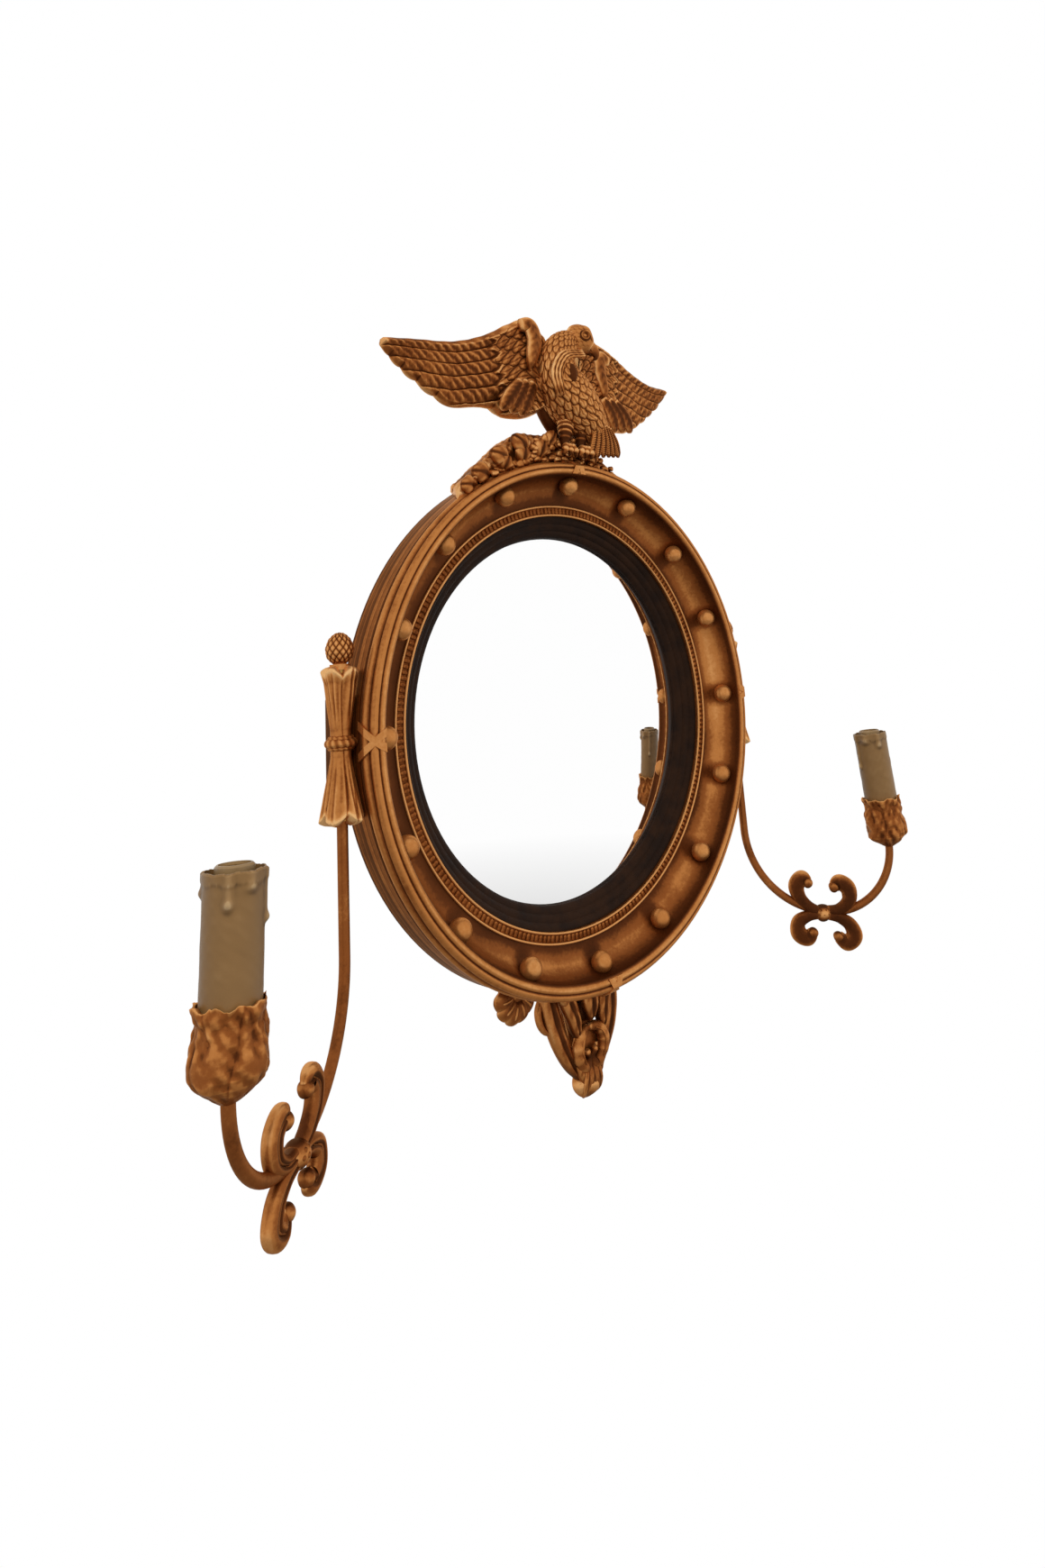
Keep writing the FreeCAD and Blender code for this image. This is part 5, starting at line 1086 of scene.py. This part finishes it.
def plinth_core(n=150, around=90):
    """Mound on the ring's top: slices from the ring outwards, front and back rounded and rough.

    Each slice is a squared oval, sign(w) x |w|^0.55 of the sine and cosine, and noise is added to
    its height and depth where it is clear of the ring.
    """
    angle = np.linspace(HILL_FROM, HILL_TO, n)
    top = np.interp(angle, HILL[:, 0], HILL[:, 1])
    turn = np.arange(around) * 2 * PI / around
    c, s = np.cos(turn)[None], np.sin(turn)[None]
    squared = lambda w: np.sign(w) * np.abs(w) ** 0.55
    height = RING_TOP - 2.5 + (top[:, None] + 2.5) * (0.5 + 0.5 * squared(s))
    lean = np.clip((height - RING_TOP) / 34.0, 0, 1)
    depth = 25.0 + squared(c) * (18.0 - 2.0 * lean)
    forward = (depth - 6.0) / 38.0
    height = RING_TOP + (height - RING_TOP) * (0.80 + 0.20 * forward)
    angles = angle[:, None] * (0.80 + 0.22 * forward)
    points = polar(angles, height, depth)
    rough = 2.2 * noise3(points, 21, 17.0, 4) + 0.8 * noise3(points, 22, 6.0, 3)
    amount = np.clip((height - RING_TOP + 1) / 5, 0, 1) * rough
    return solid(polar(angles, height + amount * 0.6 * squared(s) - 0.8, depth + amount * squared(c)))


# %% Leaves and stones on the mound
# degrees from the top, height at the stem and at the tip, lean in degrees, half width, thickness
ROCK_LEAVES = ((-31.5, 2, 8, -2.0, 7.5, 3.4), (-26.5, 3, 12, -3.0, 8.5, 3.8), (-21.5, 3, 12, 2.5, 8.0, 3.4),
               (-20.0, 8, 19, -3.0, 8.5, 4.0), (-15.5, 4, 17, 1.5, 7.5, 3.8), (-14.0, 11, 26, -2.0, 8.0, 4.2),
               (-10.0, 6, 20, 2.0, 7.5, 3.8), (-7.0, 14, 26, 2.5, 6.5, 3.6), (7.5, 5, 13, -1.5, 5.5, 3.0))


def rock_leaves():
    """Broad lobed leaves on the long slope, lying over the mound and over one another."""
    shapes = []
    for angle, h0, h1, lean, width, thick in ROCK_LEAVES:
        a = polar(angle, RING_TOP + h0, 42.5)
        b = polar(angle + lean * 0.4, RING_TOP + (h0 + h1) / 2, 47.0)
        c = polar(angle + lean, RING_TOP + h1, 43.0)
        shapes.append(blade([a, b, c], [width * 0.5, width, width * 0.6], thick, barbs=0.25, barb_count=2,
                            vein=0.35, cup=-0.8, count=50))
    return shapes


def pebbles():
    """Small stones along the foot of the mound and between the toes."""
    shapes = []
    random = np.random.default_rng(5)
    for i in range(34):
        angle = -33 + 47 * (i + random.uniform(-0.3, 0.3)) / 33
        r = random.uniform(2.0, 3.6)
        high = random.uniform(0.5, 4.5) + (5 if i % 3 == 0 and abs(angle) < 15 else 0)
        place = polar(angle, RING_TOP + high + 1.5, 43.5 + random.uniform(-0.5, 2.0))
        shapes.append(ball(place, (r * 1.2, r * 0.9, r), around=18, count=12, bumps=0.05, seed=i))
    for i in range(22):
        angle = -12 + 21 * random.random()
        place = polar(angle, RING_TOP + 6 + 14 * random.random(), 45.5 + random.uniform(-1, 2.0))
        r = random.uniform(2.2, 3.8)
        shapes.append(ball(place, (r * 1.1, r * 0.9, r), around=18, count=12, bumps=0.06, seed=90 + i))
    return shapes


piece("eagle_plinth_rocks", [plinth_core()] + rock_leaves() + pebbles(), "frame", gilt_brown,
      ["eagle_plinth"], relief=(14, 1.0))

# %% [markdown]
# ## The acanthus pendant and its shells
#
# Below the ring hangs a cluster of acanthus leaves with two scrolls and a rounded tip, and a fluted
# shell sits on each side of it. Acanthus is a few leaves repeated left and right, so each leaf is
# one blade along a short curve, made for one side and for the other.

# %% Acanthus pendant
RING_BOTTOM = -RING_TOP


def hanging(x, depth, drop):
    """Point below the ring's side."""
    return pt(x, depth, RING_BOTTOM - drop)


def pendant_shapes():
    """Backing ribs, long outer leaves, a middle leaf, two C-scrolls round a dark hole, and the tip.

    All are blades and rods through points given as (x, depth, drop below the ring's side).
    """
    shapes = []
    rib = [hanging(0, 9, -10), hanging(0, 9, 20), hanging(0, 10, 45), hanging(0, 11, 66)]
    shapes.append(blade(rib, [24, 17, 13, 7], 5.0, pointed=False, vein=0.0, back=1.2))
    for side in (-1, 1):
        outer = [hanging(side * 30, 10, -14), hanging(side * 31, 13, 6), hanging(side * 27, 16, 28),
                 hanging(side * 17, 16, 50), hanging(side * 6, 14, 66)]
        shapes.append(blade(outer, [6.5, 7.0, 6.8, 5.2, 2.6], 5.2, barbs=0.12, barb_count=5, vein=0.45,
                            back=1.3, count=80))
        inner = [hanging(side * 19, 15, -10), hanging(side * 19, 20, 6), hanging(side * 15, 22, 20),
                 hanging(side * 13, 22, 34)]
        shapes.append(blade(inner, [5.5, 6.4, 5.6, 4.2], 4.6, barbs=0.2, barb_count=4, vein=0.5,
                            back=1.4, count=60))
        turned_tip = [hanging(side * 33, 10, 2), hanging(side * 37, 10, 12), hanging(side * 34, 13, 24),
                      hanging(side * 30, 16, 27)]
        shapes.append(blade(turned_tip, [3.0, 4.2, 3.6, 2.4], 3.4, vein=0.4, back=1.2))
        scroll = [hanging(side * 2.5, 20, 30), hanging(side * 8.5, 22, 31.5), hanging(side * 13.0, 22.5, 39),
                  hanging(side * 11.5, 22, 49), hanging(side * 5.0, 21.5, 55), hanging(side * 1.8, 21, 50),
                  hanging(side * 4, 22.5, 45)]
        shapes.append(rod(scroll, [3.0, 4.0, 4.6, 4.4, 3.8, 2.8, 2.4], count=80,
                          swell=lambda t: 1 + 0.04 * np.sin(t * 40)))
        vein = [hanging(side * 5, 24.5, 31), hanging(side * 9.5, 26.2, 34), hanging(side * 12.0, 26.8, 42),
                hanging(side * 9, 26.0, 51.5)]
        shapes.append(rod(vein, [0.6, 0.9, 0.9, 0.5], count=50, around=12))
        low = [hanging(side * 11, 17, 44), hanging(side * 9.5, 20, 54), hanging(side * 5, 20, 64),
               hanging(side * 3, 19, 70)]
        shapes.append(blade(low, [3.6, 4.4, 3.8, 2.2], 3.6, barbs=0.25, barb_count=7, vein=0.45, back=1.2))
        curl = [hanging(side * 24, 16, -12), hanging(side * 26, 21, -2), hanging(side * 24, 22, 6),
                hanging(side * 19.5, 22, 7.5)]
        shapes.append(rod(curl, [2.4, 3.2, 3.0, 2.0], count=40))
    middle = [hanging(0, 15, -12), hanging(0, 23, 2), hanging(0, 24.5, 14), hanging(0, 22, 25)]
    shapes.append(blade(middle, [5.0, 7.4, 7.0, 4.0], 5.0, barbs=0.2, barb_count=4, vein=0.55,
                        back=1.2, count=60))
    shapes.append(ball(hanging(3, 14.0, 40.0), (12.0, 5.0, 13.0), around=40, count=30, bumps=0.03, seed=5))
    shapes.append(ball(hanging(0, 14.0, 68.0), (10.3, 9.6, 10.3), around=48, count=36, bumps=0.04, seed=3))
    for x, lean in ((-5.0, -4.5), (0.0, 0.0), (5.0, 4.5)):
        cap = [hanging(x * 0.6, 19, 50), hanging(x, 23.0, 60), hanging(x + lean * 0.3, 21.5, 70),
               hanging(x * 0.8, 14, 77.5)]
        shapes.append(blade(cap, [2.6, 3.6, 3.2, 1.6], 1.6, barbs=0.1, barb_count=4, vein=0.3))
    return shapes


# %% Fluted shells
SHELL_TURN = 18.2       # degrees from the bottom to the middle of each shell
RIB_TURN = 31.0         # degrees from one rib to the next


def shell_shapes(side):
    """Half-round fluted shell that hugs the ring: overlapping round ribs fanned from its middle."""
    shapes = []
    angle = 180.0 - side * SHELL_TURN
    centre = polar(angle, RING_TOP + 0.5, 9.0)
    for i in range(5):
        turn = angle + (i - 2) * RIB_TURN
        way = polar(turn, 1.0, 0.0)
        far = 18.0 - 0.7 * abs(i - 2)
        path = [centre + way * 2, centre + way * far * 0.5 + pt(0, 5.0, 0),
                centre + way * far * 0.88 + pt(0, 4.2, 0), centre + way * far + pt(0, 0.5, 0)]
        shapes.append(blade(path, [2.6, 6.0, 7.4, 6.2], 4.4, vein=0.0, back=1.3))
        crest = [p + pt(0, 3.9, 0) for p in path[:3]] + [path[3] + pt(0, 2.6, 0)]
        shapes.append(rod(crest, [0.6, 1.0, 1.0, 0.5], count=30, around=10))
    shapes.append(ball(centre + pt(0, 5.0, 0), (7.0, 4.6, 7.0)))
    return shapes


# %% The pendant's pieces
piece("acanthus_pendant_leaves", pendant_shapes(), "frame", gilt_brown, ["acanthus_pendant"],
      relief=(14, 0.9))
for name, side in (("left", -1), ("right", 1)):
    piece("pendant_shell_ribs_" + name, shell_shapes(side), "frame", gilt_cast,
          ["pendant_shell_" + name], relief=(12, 0.8))


# %% [markdown]
# ## Beads and fillets
#
# Between the hollow and the dark slip runs a row of small beads with a bright fillet on each side.
# The real beads are pressed in plaster from one mould, so one bead is made and copied round the
# ring as an array of points, a little uneven in place and size. An array modifier would keep them
# all alike.

# %% Bead row
BEADS, BEAD_CIRCLE, BEAD_D = 248, 161.2, 27.4


def bead_row(count, radius, depth, radial, along, deep, m=14, k=9):
    """Ring of small rounded blocks, longer along the radius: one superellipsoid, copied and turned."""
    lat = np.linspace(0, PI, k + 2)[1:-1][:, None]
    lon = np.arange(m)[None] * 2 * PI / m
    soft = lambda w: np.sign(w) * np.abs(w) ** 0.75
    bx = soft(np.sin(lat) * np.cos(lon)) * along
    bz = soft(np.sin(lat) * np.sin(lon)) * radial
    bd = np.broadcast_to(soft(np.cos(lat)) * deep, bx.shape)
    one = solid(pt(bx, bd, bz))
    random = np.random.default_rng(9)
    turns = (np.arange(count) + random.uniform(-0.06, 0.06, count)) * 2 * PI / count
    size = random.uniform(0.92, 1.06, count)[:, None]
    x, y, z = one[0][:, 0][None] * size, one[0][:, 1][None] * size, one[0][:, 2][None] * size + radius
    verts = np.stack([x * np.cos(turns)[:, None] + z * np.sin(turns)[:, None], y - depth,
                      -x * np.sin(turns)[:, None] + z * np.cos(turns)[:, None]], -1)
    per = len(one[0])
    offset = (np.arange(count) * per)[:, None, None]
    return verts.reshape(-1, 3), (one[1][None] + offset).reshape(-1, 4), (one[2][None] + offset).reshape(-1, 3)


piece("slip_beads", [bead_row(BEADS, BEAD_CIRCLE, BEAD_D, 2.45, 1.55, 1.7)], "frame", gilt_carved,
      relief=(5, 0.9))
inner_fillet = hoop((0, -28.1, 0), 157.65, 0.95, around=360, section=14)
outer_fillet = hoop((0, -28.2, 0), 164.7, 0.95, around=360, section=14)
# The fillets are painted bright as a highlight.
piece("slip_fillets", [inner_fillet, outer_fillet], "frame", gilt_fillet_highlight)

# %% [markdown]
# ## The convex glass
#
# The glass is part of a sphere, and what it reflects shows any flat facet at once. The CAD face is
# cut into facets when it is packed, so a finer mesh with its points exactly on the sphere takes its
# place. Smooth shading does the rest.

# %% Glass
GLASS_CURVE = 1000.0    # radius of the front
GLASS_CENTRE_D = -977.23  # the sphere's middle lies this far behind the wall
GLASS_R, GLASS_T = 149.6, 3.5


def convex_glass(rings=120, around=360):
    """Front and back of one sphere's cap: depth = centre + root(curve^2 - r^2), with a plain edge."""
    r = np.linspace(GLASS_R, 0.0, rings, endpoint=False)
    front = GLASS_CENTRE_D + np.sqrt(GLASS_CURVE**2 - r**2)
    back = GLASS_CENTRE_D + np.sqrt((GLASS_CURVE - GLASS_T) ** 2 - r**2)
    turn = np.arange(around) * 2 * PI / around
    radii, depths = np.r_[r[::-1], r], np.r_[front[::-1], back]
    return solid(pt(radii[:, None] * np.sin(turn), depths[:, None], radii[:, None] * np.cos(turn)))


piece("mirror_glass_smooth", [convex_glass()], "frame", silvered, ["mirror_glass"])

# %% [markdown]
# ## The sheaf brackets
#
# On each side of the ring a sheaf of leaves, bound at its waist, carries the arm's pivot, and a pine
# cone closes it above. The sheaf is cast metal with soft, deep furrows. A tube whose radius depends
# on height and angle gives them all in one skin, and the wander in the angle keeps the furrows from
# running dead straight.

# %% Sheaves
# side of the ring, and the arm's turn from straight right at rest, in degrees
ARMS = {"left": (-1.0, 216.0), "right": (1.0, -50.0)}
PIVOT_X, PIVOT_D = 205.7, 29.7
SHEAF_LOW, SHEAF_HIGH = -48.5, 47.0


def sheaf_skin(side, n=130, around=210):
    """Five leaves bound at the waist: radius = outline - flute depth + fine lines - vein.

    The outline grows from the waist to both ends. A flute is 1 - root|cos 2.5t|, so it is sharp in
    its bottom and round between, and the leaves' tips rise where their cosine is highest.
    """
    z = np.linspace(SHEAF_LOW, SHEAF_HIGH, n)[:, None]
    turn = (np.arange(around) * 2 * PI / around)[None]
    low = np.clip(-(z + 8) / 38.0, 0, 1)
    high = np.clip((z - 8) / 37.0, 0, 1)
    base = 6.6 + 7.6 * low ** 1.15 + 4.6 * high + 1.2 * np.clip((high - 0.8) / 0.2, 0, 1)
    sway = 0.20 * np.sin(2 * turn + 1.0) + 0.10 * np.sin(5 * turn)
    leaf = np.abs(np.cos(2.5 * turn + sway + 0.25 * np.sin(z / 17)))
    wave = 0.35 + 0.65 * np.maximum(low, high)
    flute = -3.4 * (1 - leaf ** 0.5) * wave
    fine = 0.34 * np.sin(15 * turn + 1.6 * np.sin(z / 13 + 3 * turn)) * np.clip(np.maximum(low, high) * 2, 0, 1)
    vein = -0.9 * np.exp(-((np.cos(5 * turn + 2 * sway) - 1) / 0.10) ** 2) * np.maximum(low, high)
    close = np.clip(np.minimum(z - SHEAF_LOW, SHEAF_HIGH - z) / 2.6, 0, 1) ** 0.5
    reach = (base + flute + fine + vein) * (0.45 + 0.55 * close)
    lift = 5.4 * (leaf ** 0.8 - 0.85) * (np.clip((np.abs(z) - 32) / 12, 0, 1)) * np.sign(z)
    x = side * PIVOT_X + reach * np.cos(turn)
    return solid(np.stack([x, -PIVOT_D + reach * np.sin(turn), z + lift], -1))


# %% Pine cones
CONE_MIDDLE_Z = 58.3
SPIRALS = 6             # grooves of each set, going each way


def pine_cone(side, count=90, around=120):
    """Egg with two crossing sets of spiral grooves, on a short neck.

    Radius = 8.8 + 0.9 x root(|sin(6t + 5.2 lat)| x |sin(6t - 5.2 lat)|), slimmer towards its top.
    """
    lat = np.linspace(0, PI, count + 2)[1:-1][:, None]
    turn = (np.arange(around) * 2 * PI / around)[None]
    grid = np.abs(np.sin(SPIRALS * turn + 5.2 * lat)) * np.abs(np.sin(SPIRALS * turn - 5.2 * lat))
    r = 8.8 + 0.9 * grid ** 0.5
    slim = 0.93 - 0.07 * np.cos(lat)
    x = side * PIVOT_X + r * slim * np.sin(lat) * np.cos(turn)
    y = -PIVOT_D + r * slim * np.sin(lat) * np.sin(turn)
    z = CONE_MIDDLE_Z + r * 1.08 * np.cos(lat)
    neck_line = [(side * PIVOT_X, -PIVOT_D, height) for height in (48.7, 50.5, 53.0)]
    neck = rod(neck_line, [4.2, 5.0, 6.2], facing=(0, 1, 0), count=16, around=40)
    return [solid(np.stack([x, y, z], -1)), neck]


# %% Bands and blocks
WAIST_CORDS = ((0.0, 7.6, 2.7), (2.9, 6.6, 1.6), (-2.9, 6.6, 1.6))  # height, radius, cord's radius


def waist_band(side, around=160, section=18):
    """Binding of three rounded cords, the middle one proud: rings whose wire swells as it turns."""
    shapes = []
    t = (np.arange(around) * 2 * PI / around)[:, None]
    s = (np.arange(section) * 2 * PI / section)[None]
    for z, r, thick in WAIST_CORDS:
        wide = thick * (1 + 0.06 * np.sin(14 * t + s))
        radius = r + wide * np.cos(s)
        x, y = side * PIVOT_X + radius * np.cos(t), -PIVOT_D + radius * np.sin(t)
        shapes.append(solid(np.stack([x, y, z + wide * np.sin(s)], -1), end_to_end=True))
    return shapes


def bracket_block(side):
    """Block between the ring's side and the sheaf: a squared oval, sign(w) x |w|^0.3, drawn upwards."""
    z = np.array([-29, -28.2, -26, 26, 28.2, 29.0])[:, None]
    close = np.array([0.86, 0.96, 1, 1, 0.96, 0.86])[:, None]
    turn = (np.arange(48) * 2 * PI / 48)[None]
    soft = lambda w: np.sign(w) * np.abs(w) ** 0.3
    x = side * 197.0 + side * 8.0 * soft(np.cos(turn)) * close
    depth = 17.0 + 10.0 * soft(np.sin(turn)) * close
    return solid(pt(x, depth, z))


# %% The brackets' pieces
for name, (side, _) in ARMS.items():
    piece("sheaf_leaves_" + name, [sheaf_skin(side)], "frame", gilt_leaf,
          ["sheaf_bracket_" + name], relief=(12, 0.8))
    # The block is dark with painted shade, the shade between the ring's side and the sheaf.
    piece("bracket_block_" + name, [bracket_block(side)], "frame", gilt_painted_shade)
    piece("waist_cords_" + name, waist_band(side), "frame", gilt_carved, ["sheaf_band_" + name])
    piece("pine_cone_" + name, pine_cone(side), "arm_" + name, gilt_carved,
          ["pine_finial_" + name], relief=(8, 0.35))


# %% [markdown]
# ## The candle arms
#
# Each arm is a bent tube in one upright plane, with a knot of four curled leaves near its lowest
# point and a leafy cup at its end. The tube is shown as the CAD has it. The knot and cup are placed
# in the arm's own plane, by reach, sideways distance and height, and then turned to the angle at
# which the arm rests, so both arms share one description. They ride on the arm's body and swing
# with it.

# %% The arm's own plane
def arm_maker(name):
    """Turns (reach, sideways, height) of the arm's plane into points at the rest angle."""
    side, swing = ARMS[name]
    turn = np.radians(swing)
    out = np.array([np.cos(turn), np.sin(turn), 0.0])
    beside = np.array([-np.sin(turn), np.cos(turn), 0.0])
    origin = np.array([side * PIVOT_X, -PIVOT_D, 0.0])

    def place(reach, sideways, height):
        """Point at origin + reach x out + sideways x beside + height."""
        given = [np.asarray(value, float) for value in (reach, sideways, height)]
        reach, sideways, height = np.broadcast_arrays(*given)
        flat = origin + reach[..., None] * out + sideways[..., None] * beside
        return flat + height[..., None] * np.array([0, 0, 1.0])

    return place, out, beside


# %% Scroll knots
KNOT_REACH, KNOT_Z = 63.0, -199.0   # the knot's middle
# reach and height along each of the four curled leaves, from the middle to the curl
KNOT_LINES = (((61, -198), (51, -193), (43, -184), (42, -174), (48, -169), (52, -173)),
              ((66, -197), (77, -197), (87, -190), (87, -179), (79.5, -174.5), (75, -178)),
              ((60, -200), (49, -201), (40, -206), (39.5, -215), (47, -219), (52, -215)),
              ((66, -201), (77, -204), (86, -211), (88, -220), (81, -225), (74, -219.5)))


def knot_shapes(name):
    """Four fleshy curled leaves with a vein, and a rosette of six petals where they meet."""
    place, out, beside = arm_maker(name)
    shapes = []
    for line in KNOT_LINES:
        reaches, heights = np.array(line, float).T
        points = place(reaches, 0.0, heights)
        shapes.append(blade(points, [3.6, 4.6, 6.2, 7.2, 6.6, 5.2], 4.6, facing=tuple(beside), vein=0.6,
                            back=1.0, count=90, pointed=False))
        for way in (-1, 1):
            raised = place(reaches, way * 2.9, heights)
            shapes.append(rod(raised[1:-1], [0.5, 0.9, 0.9, 0.5], facing=tuple(beside), count=50, around=12))
        shapes.append(ball(points[-1], (4.6, 4.6, 4.6), bumps=0.02))
    for way in (-1, 1):
        middle = place(KNOT_REACH, way * 5.2, KNOT_Z)
        for i in range(6):
            turn = i * PI / 3
            petal = middle + out * 3.1 * np.cos(turn) + np.array([0, 0, 3.1]) * np.sin(turn)
            shapes.append(ball(petal, (1.7, 1.7, 1.7), around=16, count=10))
        shapes.append(ball(middle + way * beside * 0.8, (1.9, 1.9, 1.9), around=16, count=10))
    shapes.append(ball(place(KNOT_REACH, 0.0, KNOT_Z), (7.4, 7.4, 7.4), bumps=0.02, seed=2))
    return shapes


# %% [markdown]
# ## Cups and candles
#
# The cup is a cluster of leaves that grips the candle's foot, and the candle is a card sleeve dipped
# in wax, with runs down its side. Both are tubes about one leaning axis. The cup's radius comes from
# a profile plus lobes and slanting furrows, and the wax adds a bell across and a drop at the end for
# each run. Each has an inner wall too, since the sleeve lifts off and shows it.

# %% The candle's axis
CANDLE_LEAN = 2.6               # degrees, back towards the bracket
CUP_REACH, CUP_Z = 128.944, -142.153  # the end of the arm's bend


def cup_frame(name):
    """Origin, axis and two cross directions of the leaning candle."""
    place, out, beside = arm_maker(name)
    lean = np.radians(CANDLE_LEAN)
    axis = unit(np.array([0, 0, np.cos(lean)]) - out * np.sin(lean))
    cross_out = unit(out - axis * (out @ axis))
    return place(CUP_REACH, 0.0, CUP_Z), axis, cross_out, np.cross(axis, cross_out)


def around_axis(name, radius, height, turn):
    """Points about the candle's axis: origin + height x axis + radius x (cos t, sin t) across it."""
    origin, axis, first, second = cup_frame(name)
    radius, height, turn = np.broadcast_arrays(radius, height, turn)
    level = origin + axis * height[..., None]
    return level + first * (radius * np.cos(turn))[..., None] + second * (radius * np.sin(turn))[..., None]


# %% Leafy cups
CUP_FOOT, CUP_RIM = -4.6, 38.2
CUP_LARGEST = 18.6      # the leaves are held softly within this radius


def cup_skin(name, seed, n=170, around=220):
    """Leafy cup with an inner wall: radius = profile + lobes + furrows + noise, held within a limit.

    Lobes are |cos 2.5t|^0.7 below and |sin 3t|^0.7 towards the rim, and furrows are three sines
    round the cup whose phase slants with the height. The limit is soft: limit - log(1 + e^2x) / 2.
    """
    h = np.linspace(CUP_FOOT, CUP_RIM, n)
    turn = np.arange(around) * 2 * PI / around
    profile = np.interp(h, [CUP_FOOT, -4.0, -2.6, -0.5, 2, 5, 9, 13, 18, 24, 30, 34, CUP_RIM],
                        [3.8, 5.4, 7.6, 10.4, 13.6, 16.4, 18.2, 18.6, 17.9, 16.8, 16.3, 16.7, 17.3])
    h2, t2 = h[:, None], turn[None]
    random = np.random.default_rng(seed)
    slant = 0.30 * np.sin(h2 / 8.0 + 2 * t2)
    lobes = 1.6 * np.abs(np.cos(2.5 * t2 + slant)) ** 0.7 * np.clip(1.25 - np.abs(h2 - 9) / 16, 0, 1)
    upper = 1.2 * np.abs(np.sin(3 * t2 + 0.5 - slant)) ** 0.7 * np.clip((h2 - 17) / 10, 0, 1)
    furrow = np.zeros_like(h2 * t2)
    for k in (5, 8, 13):
        phase = random.uniform(0, 6)
        sway = 3.4 * np.sin(h2 / 9.0 + random.uniform(0, 6) + 2 * t2)
        furrow += np.sin(k * t2 + phase + sway) * 2.4 / k
    local = np.stack(np.broadcast_arrays(18 * np.cos(t2), 18 * np.sin(t2), h2), -1)
    rough = 1.6 * noise3(local, seed, 17.0, 3) + 0.25 * noise3(local, seed + 1, 6.0, 2)
    near_foot = np.clip((h2 + 4.2) / 4, 0, 1)
    outer = profile[:, None] + (lobes + upper + furrow + rough) * near_foot - 1.2
    outer = CUP_LARGEST - np.logaddexp(0, 2 * (CUP_LARGEST - outer)) / 2
    rim = 0.9 * noise1(turn * 2, seed + 5) + 0.8 * np.sin(9 * turn + 1)
    height = h2 + np.clip((h2 - 30) / 8, 0, 1) * rim[None]
    inner_r = np.interp(h[::-1], [CUP_FOOT, -1.6, 1, 5, 12, 24, CUP_RIM],
                        [2.0, 3.2, 8.0, 12.0, 15.2, 15.2, 15.3])
    inner = np.broadcast_to(inner_r[:, None], outer.shape)
    radii = np.concatenate([np.maximum(outer, 2.6), inner])
    heights = np.concatenate([height, (height - 0.6)[::-1]])
    return solid(around_axis(name, radii, heights, t2), end_to_end=True)


# %% Waxed sleeves
SLEEVE_FOOT, SLEEVE_LENGTH = 29.0, 66.5
SLEEVE_OUTER, SLEEVE_BORE = 14.4, 13.75
# degrees round the sleeve, length and width in radians of each run of wax
WAX_RUNS = ((20, 16, 0.15), (110, 25, 0.13), (200, 30, 0.13), (285, 12, 0.16), (62, 9, 0.2), (240, 8, 0.22))


def wax_sleeve(name, seed, n=150, around=200):
    """Card sleeve dipped in wax, with a thick uneven rim and six runs that end in drops.

    A run is a bell across, e^-(angle / width)^2, that stops at its length, and its drop is a bell
    both ways. Rows lie closer at both ends, at foot + length x (1 - cos) / 2.
    """
    h = SLEEVE_FOOT + SLEEVE_LENGTH * (1 - np.cos(np.linspace(0, PI, n))) / 2
    turn = np.arange(around) * 2 * PI / around
    h2, t2 = h[:, None], turn[None]
    local = np.stack(np.broadcast_arrays(15 * np.cos(t2), 15 * np.sin(t2), h2), -1)
    outer = SLEEVE_OUTER + 0.15 * noise3(local, seed, 14.0, 3)
    below = SLEEVE_FOOT + SLEEVE_LENGTH - h2
    edge = 5.5 + 1.6 * noise1(turn * 2, seed)[None]
    outer = outer + 0.55 / (1 + np.exp((below - edge) * 2.4))
    for degrees, length, wide in WAX_RUNS:
        off = (t2 - np.radians(degrees) + PI) % (2 * PI) - PI
        body = np.exp(-((off / wide) ** 2)) / (1 + np.exp((below - length) * 1.8))
        drop = np.exp(-((off / (wide * 1.05)) ** 2) - ((below - length + 2.2) / 2.4) ** 2)
        outer = outer + 1.05 * body + 1.15 * drop
    top = h2 + np.clip((h2 - 88) / 7, 0, 1) * (0.55 * noise1(turn * 2.5, seed + 2))[None]
    inner = np.full_like(outer, SLEEVE_BORE)
    fade = np.clip(below / 0.9, 0, 1) ** 0.5
    outer = 14.0 + (outer - 14.0) * (0.25 + 0.75 * fade)
    radii, heights = np.concatenate([outer, inner]), np.concatenate([top, top[::-1]])
    return solid(around_axis(name, radii, heights, t2), end_to_end=True)


# %% The arms' pieces
for name, seed in (("left", 31), ("right", 57)):
    piece("scroll_knot_leaves_" + name, knot_shapes(name), "arm_" + name, gilt_cast,
          ["scroll_knot_" + name], relief=(12, 0.9))
    piece("socket_cup_bark_" + name, [cup_skin(name, seed)], "arm_" + name, gilt_cast,
          ["socket_cup_" + name], relief=(18, 0.9))
    piece("candle_wax_" + name, [wax_sleeve(name, seed)], "sleeve_" + name, wax,
          ["candle_sleeve_" + name], relief=(10, 0.5))
